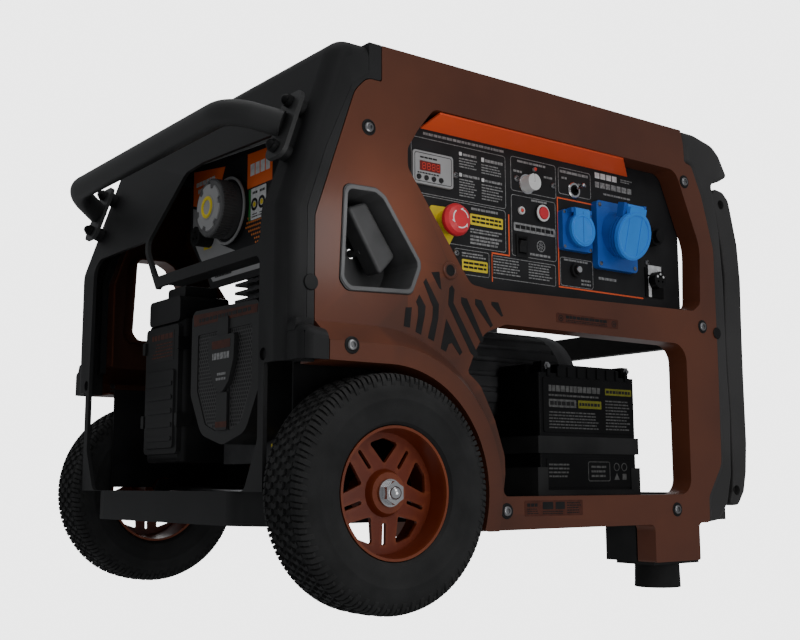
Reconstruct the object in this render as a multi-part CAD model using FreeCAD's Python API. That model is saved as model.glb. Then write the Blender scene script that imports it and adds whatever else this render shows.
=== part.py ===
import FreeCAD, Part
import os
import math

V = FreeCAD.Vector
os.makedirs("parts", exist_ok=True)

# ---------------------------------------------------------------------------
# Portable open-frame petrol generator on two wheels and two rubber feet.
# Millimetres, +Z up.  -X is the engine end with the wheels and the tow
# handle, +X is the alternator end with the feet, -Y is the operator's side
# with the control panel.  The origin is on the floor, at the centre of the
# machine's bounding box.
# Inside this file a working frame is used first: x = 0 on the wheel axle,
# y = 0 on the outer face of the front wheel's rim, z = 0 on the floor.
# ---------------------------------------------------------------------------

# driving dimensions ---------------------------------------------------------
TYRE_R = 130.0          # 10 inch wheel, 260 mm over the tread
TYRE_W = 72.0           # tread width
RIM_R = 74.0            # rim edge radius
AXLE_R = 8.0            # wheel axle radius
HUB_BORE_R = 8.05       # running bore of the hub
MID_Y = 325.0           # plane of symmetry of the chassis
PANEL_Y = 38.0          # outer plane of the front side panel
PANEL_D = 32.0          # depth of the side panel's returns
BAND_Y = 8.0            # outer plane of the wheel-arch band
TOP_Z = 644.0           # roof plane
BASE_Z = 85.0           # bottom edge of the side panels
END_X = -121.0          # outer plane of the engine-end moulding
REAR_X = 673.0          # outermost point of the rear guard
ARCH_R = 139.0          # wheel-arch lip radius about the axle
ARCH_R2 = 184.0         # wheel-arch outer radius in the panel plane
HANDLE_X = -156.0       # centre of the tow bar
HANDLE_Z = 552.0
HANDLE_R = 15.0         # 30 mm tube
CRANK_Y = 235.0         # crankshaft axis
CRANK_Z = 275.0
SKIN = 2.5              # sheet and moulding thickness used for the skins
CP_Y = 72.0             # face plane of the control panel
SX = -251.0             # shift from the working frame to the part frame
SY = -MID_Y

# helpers ---------------------------------------------------------------------


def rwire(pts, plane="xz", off=0.0):
    """Closed wire of straight runs, each corner rounded by its own radius.
    pts holds (a, b) or (a, b, r); plane says which two axes a and b are."""
    P = []
    for p in pts:
        r = p[2] if len(p) > 2 else 0.0
        P.append((p[0], p[1], r))

    def w(a, b):
        if plane == "xz":
            return V(a, off, b)
        if plane == "yz":
            return V(off, a, b)
        return V(a, b, off)

    n = len(P)
    ends = []
    for i in range(n):
        a, b, c = P[i - 1], P[i], P[(i + 1) % n]
        if b[2] <= 0:
            ends.append((w(b[0], b[1]), None, w(b[0], b[1])))
            continue
        u = (a[0] - b[0], a[1] - b[1])
        v = (c[0] - b[0], c[1] - b[1])
        lu, lv = math.hypot(*u), math.hypot(*v)
        u = (u[0] / lu, u[1] / lu)
        v = (v[0] / lv, v[1] / lv)
        ang = math.acos(max(-1, min(1, u[0] * v[0] + u[1] * v[1])))
        if abs(math.pi - ang) < 1e-3:
            ends.append((w(b[0], b[1]), None, w(b[0], b[1])))
            continue
        t = min(b[2] / math.tan(ang / 2), 0.49 * lu, 0.49 * lv)
        r = t * math.tan(ang / 2)
        p1 = (b[0] + u[0] * t, b[1] + u[1] * t)
        p2 = (b[0] + v[0] * t, b[1] + v[1] * t)
        bis = (u[0] + v[0], u[1] + v[1])
        lb = math.hypot(*bis)
        d = r / math.sin(ang / 2) - r
        m = (b[0] + bis[0] / lb * d, b[1] + bis[1] / lb * d)
        ends.append((w(*p1), w(*m), w(*p2)))
    edges = []
    for i in range(n):
        s, m, e = ends[i]
        if m is not None:
            edges.append(Part.Arc(s, m, e).toShape())
        nx = ends[(i + 1) % n][0]
        if e.distanceToPoint(nx) > 1e-6:
            edges.append(Part.LineSegment(e, nx).toShape())
    return Part.Wire(edges)


def rface(pts, plane="xz", off=0.0, holes=()):
    wires = [rwire(pts, plane, off)] + [rwire(h, plane, off) for h in holes]
    return Part.makeFace(wires, "Part::FaceMakerBullseye")


def xz(pts, y0, y1, holes=()):
    return rface(pts, "xz", y0, holes).extrude(V(0, y1 - y0, 0))


def yz(pts, x0, x1, holes=()):
    return rface(pts, "yz", x0, holes).extrude(V(x1 - x0, 0, 0))


def xy(pts, z0, z1, holes=()):
    return rface(pts, "xy", z0, holes).extrude(V(0, 0, z1 - z0))


def box(x0, y0, z0, x1, y1, z1):
    return Part.makeBox(x1 - x0, y1 - y0, z1 - z0, V(x0, y0, z0))


def cyl(x, y, z, r, h, d="y"):
    D = {"x": V(1, 0, 0), "y": V(0, 1, 0), "z": V(0, 0, 1)}[d]
    return Part.makeCylinder(r, h, V(x, y, z), D)


def ring(x, y, z, r0, r1, h, d="y"):
    return cyl(x, y, z, r1, h, d).cut(cyl(x, y, z, r0, h, d))


def fuse(shapes):
    s = shapes[0]
    if len(shapes) > 1:
        s = s.multiFuse(shapes[1:])
    try:
        s = s.removeSplitter()
    except Exception:
        pass
    return s


def cut(s, *tools):
    for t in tools:
        s = s.cut(t)
    return s


def fillet(s, r, test):
    es = [e for e in s.Edges if test(e)]
    if not es:
        return s
    for k in (1.0, 0.6, 0.3):
        try:
            f = s.makeFillet(r * k, es)
            if f.isValid() and f.Volume > 0:
                return f
        except Exception:
            pass
    return s


def rect_at(cx, cz, w, h, r=2.0):
    return [(cx - w / 2, cz - h / 2, r), (cx + w / 2, cz - h / 2, r), (cx + w / 2, cz + h / 2, r), (cx - w / 2, cz + h / 2, r)]


def mirror_y(s):
    return s.mirror(V(0, MID_Y, 0), V(0, 1, 0))


def bb(e):
    return e.BoundBox


def hexa(x, y, z, af, h, d="y"):
    """Hexagonal prism, across flats af, height h along d from (x, y, z)."""
    r = af / math.sqrt(3)
    pts = []
    for i in range(6):
        a = math.pi / 6 + i * math.pi / 3
        c, s = r * math.cos(a), r * math.sin(a)
        if d == "y":
            pts.append((x + c, z + s))
        elif d == "x":
            pts.append((y + c, z + s))
        else:
            pts.append((x + c, y + s))
    if d == "y":
        return xz(pts, y, y + h)
    if d == "x":
        return yz(pts, x, x + h)
    return xy(pts, z, z + h)


def revolve_y(profile, x=0.0, z=TYRE_R, deg=360.0):
    """Revolve a closed (r, y) profile about the Y axis through (x, z)."""
    pts = [V(x + r, y, z) for r, y in profile]
    pts.append(pts[0])
    f = Part.Face(Part.makePolygon(pts))
    return f.revolve(V(x, 0, z), V(0, 1, 0), deg)


def revolve_x(profile, y=CRANK_Y, z=CRANK_Z, deg=360.0):
    """Revolve a closed (x, r) profile about the X axis through (y, z)."""
    pts = [V(x, y + r, z) for x, r in profile]
    pts.append(pts[0])
    f = Part.Face(Part.makePolygon(pts))
    return f.revolve(V(0, y, z), V(1, 0, 0), deg)


NODES = {}


def put(name, shape):
    s = shape.copy()
    s.translate(V(SX, SY, 0))
    if s.ShapeType == "Compound" and len(s.Solids) == 1:
        s = s.Solids[0]
    if not s.isValid():
        print("INVALID", name)
    NODES[name] = s


def group(shapes):
    sol = []
    for s in shapes:
        sol += s.Solids
    return Part.makeCompound(sol)


# ---------------------------------------------------------------------------
# side panels: pressed shells with returned edges round every window
# ---------------------------------------------------------------------------
PANEL_OUT = [
    (9, TOP_Z, 0), (543, TOP_Z, 0), (548, 622, 12), (549, 597, 6), (564, 594, 8),
    (584, 553, 40), (607, 476, 60), (607, 300, 60), (605, 165, 30), (575, 121, 14),
    (574, BASE_Z, 6), (551, BASE_Z, 6), (551, 35, 3), (459, 35, 3), (459, BASE_Z, 8),
    (ARCH_R + 3, BASE_Z - 1, 0), (ARCH_R + 3, TYRE_R, 0),
    (0, TYRE_R, 0), (0, 269, 0), (-81, 269, 0), (-81, 430, 20), (-29, 582, 30), (-12, 600, 18), (9, 600, 3),
]
WIN_UP = [(86, 583, 16), (61, 552, 10), (46, 528, 14), (46, 505, 14), (124, 398, 14),
          (141, 376, 14), (170, 373, 20), (556, 381, 10), (572, 392, 12), (576, 476, 60), (528, 582, 22)]
WIN_POCKET = [(-45, 472, 10), (0, 473, 12), (13, 466, 10), (64, 394, 10), (64, 385, 8),
              (51, 354, 10), (-41, 350, 12), (-50, 361, 10)]


def low_window_tool(y0, y1):
    return xz([(537, 332, 26), (537, 124, 22), (187, 124, 8), (191.5, 150, 20), (191, 172, 30), (176, 215, 60), (154, 255, 30), (134, 270, 5),
               (146, 295, 20), (162, 319, 24), (196, 332, 14)], y0, y1)


def side_panel():
    y0, y1 = PANEL_Y, PANEL_Y + PANEL_D
    solid = xz(PANEL_OUT, y0, y1)
    solid = solid.cut(cyl(0, y0 - 1, TYRE_R, ARCH_R, PANEL_D + 2))
    solid = cut(solid, xz(WIN_UP, y0 - 1, y1 + 1), xz(WIN_POCKET, y0 - 1, y1 + 1), low_window_tool(y0 - 1, y1 + 1))
    # hollow back: the same outline drawn in by the skin thickness
    f = [g for g in solid.Faces if abs(g.CenterOfMass.y - y0) < 1e-4][0]
    try:
        inner = f.makeOffset2D(-SKIN)
        core = inner.extrude(V(0, PANEL_D + 2, 0))
        core.translate(V(0, SKIN, 0))
        shell = solid.cut(core)
        if shell.isValid() and shell.Volume > 0:
            solid = shell
    except Exception as e:
        print("panel offset", e)
    # wheel-arch band: lip, flat band and slope back to the panel plane
    prof = [(ARCH_R, BAND_Y), (160, BAND_Y), (ARCH_R2, y0), (ARCH_R2, y0 + SKIN), (ARCH_R2 - 4, y0 + SKIN), (159, BAND_Y + SKIN),
            (ARCH_R + SKIN, BAND_Y + SKIN), (ARCH_R + SKIN, 66), (ARCH_R, 66)]
    arch = revolve_y(prof, deg=-116.0)
    arch.rotate(V(0, 0, TYRE_R), V(0, 1, 0), 18)
    keep = box(0, -20, BASE_Z, 400, 120, 500)
    arch = arch.common(keep)
    zt = TYRE_R
    ledge = yz([(BAND_Y, zt + ARCH_R), (BAND_Y, zt + 160), (y0, zt + ARCH_R2), (y0 + SKIN, zt + ARCH_R2), (y0 + SKIN, zt + ARCH_R2 - 4),
                (BAND_Y + SKIN, zt + 159), (BAND_Y + SKIN, zt + ARCH_R + SKIN), (66, zt + ARCH_R + SKIN), (66, zt + ARCH_R)], -81, 0)
    # cut the flat skin behind the band so that the arch is open to the wheel
    solid = solid.cut(cyl(0, y0 - 1, TYRE_R, ARCH_R2 - 4, PANEL_D + 2).common(box(0, 0, BASE_Z, 400, 100, 400)))
    solid = solid.cut(box(-82, y0 - 1, 200, 0, y1 + 1, zt + ARCH_R2 - 4))
    solid = fuse([solid, arch, ledge])
    # bolt seats
    for x, z in ((-10, 542), (547, 568), (193, 107), (505, 104), (575, 360)):
        solid = fuse([solid, cyl(x, y0, z, 9, 12)]).cut(cyl(x, y0 - 5, z, 4.2, 30))
    solid = solid.cut(cyl(-53, 0, 286, 4.2, 30))
    # the boss on the oblique bar
    solid = fuse([solid, cyl(108, y0 + 0.5, 389, 10, 14)]).cut(cyl(108, y0 - 1, 389, 7, 8))
    return solid


front_panel = side_panel()
print("front panel", front_panel.isValid(), len(front_panel.Solids), round(front_panel.Volume))
put("side_panel_front", front_panel)
put("side_panel_back", mirror_y(front_panel))

# black trims between the side panels and the end mouldings
TRIM = [(-91, 300, 0), (-82, 300, 0), (-82, 430.5, 20), (-30, 582.5, 30), (-12.5, 601, 18), (8, 601, 3), (8, TOP_Z, 0),
        (-9.5, TOP_Z, 0), (-9.5, 608, 4), (-20, 604, 10), (-32, 591, 10), (-67, 511, 20), (-91, 439, 20)]
trim = xz(TRIM, PANEL_Y, PANEL_Y + 14)
trim = fuse([trim, box(-9.5, PANEL_Y, TOP_Z - 8, 8, 70.5, TOP_Z)])

# ---------------------------------------------------------------------------
# engine-end moulding with its lower rail
# ---------------------------------------------------------------------------
CAP = [(END_X, 94, 0), (END_X, 440, 40), (-53, TOP_Z, 34), (-10, TOP_Z, 0), (-10, 607.5, 0), (-32.5, 590.5, 6), (-67.5, 511, 0),
       (-91.5, 439, 0), (-91.5, 94, 0)]


def offset_cap(d):
    return [(END_X + d, 60, 0), (END_X + d, 440 - 0.16 * d, 40 - d), (-53 + 0.7 * d, TOP_Z - d, 34 - d), (60, TOP_Z - d, 0), (60, 60, 0)]


cap = xz(CAP, PANEL_Y, 2 * MID_Y - PANEL_Y)
ends = [e for e in cap.Edges if abs(bb(e).YMax - bb(e).YMin) < 1e-6 and bb(e).XMax < -9.9
        and (bb(e).XMin < END_X + 1 or (bb(e).ZMin > 430 and bb(e).XMax - (-121 + 0.3333 * (bb(e).ZMax - 440)) < 14) or bb(e).ZMin > TOP_Z - 12)]
c2 = cap.makeFillet(20, ends)
if c2.isValid():
    cap = c2
hollow = xz(offset_cap(5), PANEL_Y + 5, 2 * MID_Y - PANEL_Y - 5)
hollow = fillet(hollow, 16, lambda e: abs(bb(e).YMax - bb(e).YMin) < 1e-6 and bb(e).XMin < 50 and bb(e).XMax < 59 and bb(e).ZMax > 100
                and not (bb(e).ZLength < 1e-6 and bb(e).ZMin < 61))
cap = cap.cut(hollow)
YN, YF = 88.0, 562.0
# upper window: the end panel is seen through it
UPW = [(90, 538, 8), (78, 530, 8), (88, 408, 8), (95, 403, 6), (352, 403, 6), (392, 457, 12), (345, 545, 14), (300, 549, 10)]
cap = cap.cut(yz(UPW, END_X - 30, -20))
# lower opening: one tall opening from pillar to pillar
LOW = [(YN, 389, 10), (340, 389, 0), (350, 385, 6), (400, 459, 6), (558, 459, 12), (YF, 300, 60), (YF, 186, 20), (YF - 26, 132, 12),
       (116, 132, 12), (YN, 186, 20)]
cap = cap.cut(yz(LOW, END_X - 30, -20))
# the lower corners are cleared for the wheels
for m in (0, 1):
    t = box(-300, -30, 0, 50, 76, 269)
    cap = cap.cut(mirror_y(t) if m else t)
# bowed rail across the bottom
bump = xy([(-121, 140, 60), (-121, 510, 60), (-92, 566, 20), (-70, 566, 0), (-70, 545, 0), (-100, 500, 50), (-100, 150, 50), (-70, 105, 0), (-70, 84, 0), (-92, 84, 20)], 94, 131.5)
cap = cap.cut(box(-130, 0, 90, 0, 700, 131.5))
# fender blocks standing out of the lower corners
blk = xz([(-114, 269, 0), (-114, 309, 10), (-82, 303, 0), (-82, 269, 0)], BAND_Y, PANEL_Y + 4)
blk = fillet(blk, 14, lambda e: abs(bb(e).XMin + 114) < 0.01 and abs(bb(e).XMax + 114) < 0.01 and abs(bb(e).YMax - BAND_Y) < 0.01 and bb(e).ZLength > 10)
blk = fuse([blk, xz([(-114, 300, 0), (-112, 314, 4), (-92, 314, 0), (-92, 300, 0)], 26, PANEL_Y + 4)])
blk = blk.cut(box(-110, BAND_Y + 4, 266, -79, PANEL_Y - 1, 298))
rail = yz([(YN - 4, 403), (352, 403), (345, 393), (YN - 4, 393)], END_X, END_X + 34)
cap = fuse([cap, blk, mirror_y(blk), rail, bump])
for y, z in ((78, 278.5), (2 * MID_Y - 78, 278.5)):
    cap = cap.cut(cyl(END_X - 1, y, z, 7, 4, "x"))

# tow handle: one bent tube with a flange plate at each foot
SL = V(0.334, 0, 1.0)
SL.normalize()                       # along the sloping face, upwards
NO = V(-SL.z, 0, SL.x)               # outward normal of the sloping face
FOOT_F = V(-105, 65, 533) + NO * 3.0
FOOT_B = V(-105, 2 * MID_Y - 65, 533) + NO * 3.0


def bend_path(p, r):
    edges = []
    cur = p[0]
    for i in range(1, len(p) - 1):
        a = (p[i - 1] - p[i])
        b = (p[i + 1] - p[i])
        a.normalize()
        b.normalize()
        ang = math.acos(a.dot(b))
        t = r / math.tan(ang / 2)
        s = p[i] + a * t
        e = p[i] + b * t
        bis = a + b
        bis.normalize()
        m = p[i] + bis * (r / math.sin(ang / 2) - r)
        edges.append(Part.LineSegment(cur, s).toShape())
        edges.append(Part.Arc(s, m, e).toShape())
        cur = e
    edges.append(Part.LineSegment(cur, p[-1]).toShape())
    return Part.Wire(edges)


CORN_F = V(HANDLE_X, 102, HANDLE_Z)
CORN_B = V(HANDLE_X, 2 * MID_Y - 102, HANDLE_Z)
path = bend_path([FOOT_F, CORN_F, CORN_B, FOOT_B], 60)
d0 = (CORN_F - FOOT_F)
d0.normalize()
circ = Part.Wire(Part.Circle(FOOT_F, d0, HANDLE_R).toShape())
tube = path.makePipeShell([circ], True, False)
print("handle tube", tube.isValid(), round(tube.Volume), round(path.Length * math.pi * HANDLE_R ** 2))
fl = []
for yy in (65, 2 * MID_Y - 65):
    c = V(-105, yy, 533)
    p = Part.makeBox(5, 40, 84, V(0, -20, -42))
    p = fillet(p, 12, lambda e: e.BoundBox.XLength > 4.9)
    p.rotate(V(0, 0, 0), V(0, 1, 0), math.degrees(math.atan2(SL.x, SL.z)))
    p.translate(c + NO * 2.0)
    fl.append(p)
handle = fuse([tube] + fl)
bolts, holes, pads = [], [], []
for yy in (65, 2 * MID_Y - 65):
    for k in (-29, 29):
        c = V(-105, yy, 533) + SL * k
        holes.append(Part.makeCylinder(4.1, 60, c + NO * 20, NO * -1))
        b = Part.makeCylinder(4.0, 26, c + NO * 3, NO * -1)
        n = Part.makeCylinder(7.5, 6, c + NO * 2.6, NO)
        dm = Part.makeSphere(6.2, c + NO * 8.0)
        bolts.append(fuse([b, n, dm]))
        pads.append(Part.makeCylinder(10, 22, c - NO * 3.6, NO * -1))
for h in holes:
    handle = handle.cut(h)
handle = sorted(handle.Solids, key=lambda s: -s.Volume)[0]
cap = fuse([cap] + pads)
for h in holes:
    cap = cap.cut(h)
# the flange plates rest on the sloping face and nothing stands through them
cap = cap.cut(handle)
for b in bolts:
    cap = cap.cut(b)
    handle = handle.cut(b)
sol = sorted(cap.Solids, key=lambda s: -s.Volume)
for s in sol[:6]:
    print("cap solid", round(s.Volume), s.BoundBox)
cap = sol[0]
put("end_cap_engine", cap)
trims = []
for t in (trim, mirror_y(trim)):
    t = t.cut(cap)
    trims.append(sorted(t.Solids, key=lambda s: -s.Volume)[0])
put("corner_trims", group(trims))
put("tow_handle", sorted(handle.Solids, key=lambda s: -s.Volume)[0])

# ---------------------------------------------------------------------------
# rear-end moulding with its guard bars
# ---------------------------------------------------------------------------
RCAP = [(543.5, TOP_Z, 0), (575, TOP_Z, 40), (617, 635, 30), (633, 622, 20), (651, 592, 4), (634, 583, 0), (612, 575, 8), (626, 500, 60), (631, 430, 60),
        (631, 300, 80), (634, 237, 80), (630, 150, 30), (619, 110, 10), (600, 88, 10), (575, BASE_Z, 0), (575.5, 121.5, 14), (605.5, 165, 30), (607.5, 300, 60),
        (607.5, 476, 60), (584.5, 553.5, 40), (564.5, 594.5, 8), (549.5, 597.5, 6), (548.5, 622, 12)]
rc = xz(RCAP, PANEL_Y, 2 * MID_Y - PANEL_Y)
rc = fillet(rc, 12, lambda e: abs(bb(e).YMax - bb(e).YMin) < 1e-6 and bb(e).XMin > 560 and (bb(e).XMax > 632 or bb(e).ZMin > 590) and bb(e).ZMin > 570)
rc = rc.cut(box(500, PANEL_Y + 16, 100, 640, 2 * MID_Y - PANEL_Y - 16, TOP_Z - 60))
rc = rc.cut(box(530, PANEL_Y + 5, 300, 604, 2 * MID_Y - PANEL_Y - 5, TOP_Z - 5))
rc = rc.cut(box(560, PANEL_Y + 16, TOP_Z - 62, 598, 2 * MID_Y - PANEL_Y - 16, TOP_Z - 5))
# cross rails that tie the two sides together
rc = fuse([rc, box(608.5, 50, 88, 625, 600, 126), box(608.5, 50, 340, 625, 600, 376)])
GUARD = [(612.5, 560, 8), (622, 570, 6), (639, 568, 10), (652, 557, 10), (657, 539, 20), (669, 489, 40), (673, 436, 60), (671, 362, 80), (670, 294, 80), (670, 196, 60),
         (666, 155, 20), (659, 127, 10), (645, 108, 8), (622, 107, 8), (632, 127, 6), (635, 154, 20), (635.5, 237, 60), (632, 320, 60), (632, 359, 60), (636, 442, 60), (631, 484, 30), (621, 521, 30), (611, 546, 8)]
gd = xz(GUARD, 40, 72)
gd = fillet(gd, 4, lambda e: abs(bb(e).YMax - bb(e).YMin) < 1e-6)
rc = cut(rc, gd, mirror_y(gd))
gd = cut(gd, cyl(632, 36, 547, 7, 12), cyl(640, 36, 129, 7, 12))
sol = sorted(rc.Solids, key=lambda s: -s.Volume)
print("rear cap", [round(s.Volume) for s in sol][:5])
put("end_cap_rear", sol[0])
put("rear_guards", group([gd, mirror_y(gd)]))

# ---------------------------------------------------------------------------
# roof, fuel tank with its level gauge, and the filler cap
# ---------------------------------------------------------------------------
roof = box(-8, 71, TOP_Z - 26, 540, 579, TOP_Z - 0.5)
roof = roof.cut(box(-6, 73, TOP_Z - 30, 538, 577, TOP_Z - 2.5))
for x0 in (217, 256):
    r = yz([(40, TOP_Z + 0.2, 0), (43, TOP_Z + 3, 4), (607, TOP_Z + 3, 4), (610, TOP_Z + 0.2, 0)], x0, x0 + 26)
    roof = fuse([roof, r, box(x0, 73, TOP_Z - 2.5, x0 + 26, 577, TOP_Z + 1)])
roof = cut(roof, cyl(120, 430, TOP_Z - 40, 26.5, 60, "z"), cyl(120, 300, TOP_Z - 40, 19.5, 60, "z"))
print("roof", len(roof.Solids))
put("roof_cover", roof)
tank = box(5, 76, 590, 535, 574, TOP_Z - 4.5)
tank = fillet(tank, 14, lambda e: abs(bb(e).ZMin - 590) < 0.01)
tin = box(7.5, 78.5, 592.5, 532.5, 571.5, TOP_Z - 7)
tank = tank.cut(fillet(tin, 11.5, lambda e: abs(bb(e).ZMin - 592.5) < 0.01))
neck = ring(120, 430, TOP_Z - 8, 20, 24, 16, "z")
tank = tank.cut(cyl(120, 430, TOP_Z - 10, 20, 40, "z")).cut(cyl(120, 300, TOP_Z - 10, 17.0, 40, "z"))
tank = fuse([tank, neck])
gauge = fuse([cyl(120, 300, TOP_Z - 12, 16.8, 12, "z"), cyl(120, 300, TOP_Z, 22, 4, "z")]).cut(cyl(120, 300, TOP_Z + 1.5, 17, 10, "z"))
put("fuel_tank", group([tank, gauge]))
fcap = cyl(120, 430, TOP_Z + 8.5, 33, 14, "z")
fcap = fillet(fcap, 4, lambda e: bb(e).ZMin > TOP_Z + 22)
for i in range(12):
    a = i * math.pi / 6
    fcap = fcap.cut(cyl(120 + 34 * math.cos(a), 430 + 34 * math.sin(a), TOP_Z + 4, 3.2, 30, "z"))
fcap = fuse([fcap, cyl(120, 430, TOP_Z - 2, 19.6, 12, "z")])
put("fuel_cap", fcap)

# ---------------------------------------------------------------------------
# base tray, axle, leg beam, feet
# ---------------------------------------------------------------------------
tray = box(-70, 84, 96, 570, 566, 124)
tray = tray.cut(box(-67, 87, 99, 567, 563, 130))
tray = fuse([tray] + [box(x0, 84, 96, x1, 566, 124) for x0, x1 in ((-26, 52), (90, 134), (290, 330), (410, 450), (500, 540))])
for x0, x1 in ((-26, 52), (90, 134), (290, 330), (410, 450), (500, 540)):
    tray = tray.cut(box(x0 + 3, 92, 90, x1 - 3, 558, 121))
tray = tray.cut(cyl(0, 80, TYRE_R, AXLE_R + 0.6, 490))
put("base_tray", tray)
br = []
for y in (92, 552):
    b = xz([(-22, 124.1, 0), (22, 124.1, 0), (14, 148, 10), (-14, 148, 10)], y, y + 6)
    br.append(b.cut(cyl(0, y - 1, TYRE_R, AXLE_R + 0.02, 8)))
axle_parts = [cyl(0, 5, TYRE_R, AXLE_R, 2 * MID_Y - 10)]
for m in (0, 1):
    w = ring(0, 10.9, TYRE_R, AXLE_R + 0.02, 15, 2.5)
    n = hexa(0, 2.5, TYRE_R, 22, 8.3)
    n = fuse([n, Part.makeSphere(8, V(0, 4.5, TYRE_R)).common(box(-20, -20, 100, 20, 4.5, 160))])
    n = n.cut(cyl(0, 4.98, TYRE_R, AXLE_R + 0.02, 20))
    axle_parts += [mirror_y(t) if m else t for t in (w, n)]
put("axle", group(axle_parts))

# hollow leg box behind each side panel's foot
leg = box(459, 73, 35, 551, 127, BASE_Z + 11)
leg = leg.cut(box(462, 76, 38, 548, 124, BASE_Z + 8))
plate = [box(463, 46, 31, 556, 112, 34.8), box(463, 538, 31, 556, 604, 34.8)]
put("leg_beam", group([leg, mirror_y(leg)] + plate))
feet = [Part.makeCone(31, 30, 31, V(503, y, 0), V(0, 0, 1)) for y in (75, 575)]
put("feet", group(feet))

# ---------------------------------------------------------------------------
# wheels
# ---------------------------------------------------------------------------


def wheel():
    yc = -4 + TYRE_W / 2.0
    h = TYRE_W / 2.0
    tyre = revolve_y([(RIM_R - 2, yc - h + 4), (RIM_R + 6, yc - h - 1.5), (95, yc - h - 2.5), (112, yc - h - 1.5), (122, yc - h + 1.5), (127, yc - h + 5), (129.4, yc - h + 12), (130, yc - 12),
                      (130, yc + 12), (129.4, yc + h - 12), (127, yc + h - 5), (122, yc + h - 1.5), (112, yc + h + 1.5), (95, yc + h + 2.5), (RIM_R + 6, yc + h + 1.5), (RIM_R - 2, yc + h - 4)])
    rim_b = revolve_y([(RIM_R - 2.0, yc - h + 4), (RIM_R - 2.0, yc + h - 4), (RIM_R - 5, yc + h - 4), (RIM_R - 7, yc + 18), (RIM_R - 10, yc), (RIM_R - 7, yc - 18), (RIM_R - 5, yc - h + 4)])
    disc = revolve_y([(HUB_BORE_R, 14), (22, 14), (26, 22), (RIM_R - 8.5, 24), (RIM_R - 8.5, 28), (22, 27), (20, 64), (HUB_BORE_R, 64)])
    rim = fuse([rim_b, disc])
    for i in range(5):
        a = math.radians(90 + 72 * i)
        pts = []
        for rr, da in ((31, 0), (57, 20), (59.5, 0), (57, -20)):
            b = a + math.radians(da)
            pts.append((rr * math.cos(b), TYRE_R + rr * math.sin(b), 2.5))
        rim = rim.cut(xz(pts, 10, 40))
        slot = xz(rect_at(44, 0, 24, 4.5), 10, 40)
        slot.translate(V(0, 0, TYRE_R))
        slot.rotate(V(0, 0, TYRE_R), V(0, 1, 0), -(54 + 72 * i))
        rim = rim.cut(slot)
    return tyre, rim


ty, ri = wheel()
ri = sorted(ri.Solids, key=lambda s: -s.Volume)[0]
put("tyre_front", ty)
put("rim_front", ri)
put("tyre_back", mirror_y(ty))
put("rim_back", mirror_y(ri))

# wheel-arch liners: inner walls of the wheel wells
arc = revolve_y([(ARCH_R + 3.2, 66.5), (ARCH_R + 6, 66.5), (ARCH_R + 6, 83.6), (ARCH_R + 3.2, 83.6)])
arc = arc.common(box(0, 0, 136, 300, 200, 400))
led = box(-80.5, 66.5, TYRE_R + ARCH_R + 3.2, 0, 83.6, TYRE_R + ARCH_R + 6)
liner = fuse([xz([(-80.5, TYRE_R + ARCH_R + 6, 0), (0, TYRE_R + ARCH_R + 6, 0), (0, 136, 0), (-80.5, 136, 0)], 80.8, 83.6),
              cyl(0, 80.8, TYRE_R, ARCH_R + 6, 2.8).common(box(0, 60, 136, 300, 100, 400)), arc, led])
liner = liner.cut(cyl(0, 60, TYRE_R, 20, 40))
put("arch_liners", group([liner, mirror_y(liner)]))

# ---------------------------------------------------------------------------
# engine and alternator
# ---------------------------------------------------------------------------
crankcase = fuse([box(-30, 150, 165, 130, 330, 330), cyl(-30, CRANK_Y, CRANK_Z, 60, 160, "x")])
crankcase = fuse([crankcase, box(14, 170, 138, 50, 310, 170), box(90, 170, 138, 130, 310, 170)])
crankcase = crankcase.cut(cyl(-40, CRANK_Y, CRANK_Z, 17.55, 200, "x")).cut(cyl(-31, 185, 178, 9.4, 15, "x"))
put("engine_block", crankcase)
hd = box(20, 275, 330.2, 100, 365, 440)
for i in range(9):
    z = 338 + i * 11.5
    hd = fuse([hd, box(8, 262, z, 112, 378, z + 4)])
hd = hd.cut(cyl(60, 320, 436, 7.05, 10, "z"))
plug = fuse([cyl(60, 320, 436.5, 7.0, 14, "z"), hexa(60, 320, 446, 20.8, 8, "z"), cyl(60, 320, 452, 6, 22, "z")])
put("cylinder_head", group([hd, plug]))
rec = yz([(150, 352, 12), (320, 357, 12), (320, 250, 20), (290, 200, 30), (235, 186, 30), (180, 200, 30), (150, 250, 20)], -84, -30.2)
rec = rec.cut(yz([(154, 348, 8), (316, 353, 8), (316, 252, 16), (288, 204, 26), (235, 190, 26), (182, 204, 26), (154, 252, 16)], -80, -20))
gr = []
for sgn in (-1, 1):
    P = [(235 + sgn * 14, 325, 3), (235 + sgn * 68, 325, 3), (235 + sgn * 68, 255, 10), (235 + sgn * 45, 212, 10), (235 + sgn * 14, 202, 3)]
    rec = rec.cut(yz(P, -90, -70))
    g = yz(P, -82.5, -81.3)
    gr.append(g)
rec = fuse([rec, cyl(-82, CRANK_Y, CRANK_Z, 5.93, 15, "x")])
put("recoil_cover", group([rec] + gr))
fly = revolve_x([(-60, 17.5), (-60, 30), (-50, 70), (-34, 70), (-34, 17.5)])
for i in range(12):
    v = box(-66, CRANK_Y + 36, CRANK_Z - 1.5, -50, CRANK_Y + 66, CRANK_Z + 1.5)
    v.rotate(V(0, CRANK_Y, CRANK_Z), V(1, 0, 0), i * 30)
    fly = fuse([fly, v])
put("flywheel", fly)
pul = revolve_x([(-77, 6), (-77, 30), (-74, 34), (-72, 30), (-70, 34), (-68.5, 30), (-68.5, 6)])
put("recoil_pulley", pul)
shaft = cyl(-61, CRANK_Y, CRANK_Z, 17.5, 507, "x")
put("crankshaft", group([fuse([shaft, ring(200, CRANK_Y, CRANK_Z, 17, 50, 190, "x")])]))
stator = ring(175, CRANK_Y, CRANK_Z, 50.6, 80, 235, "x")
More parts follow.
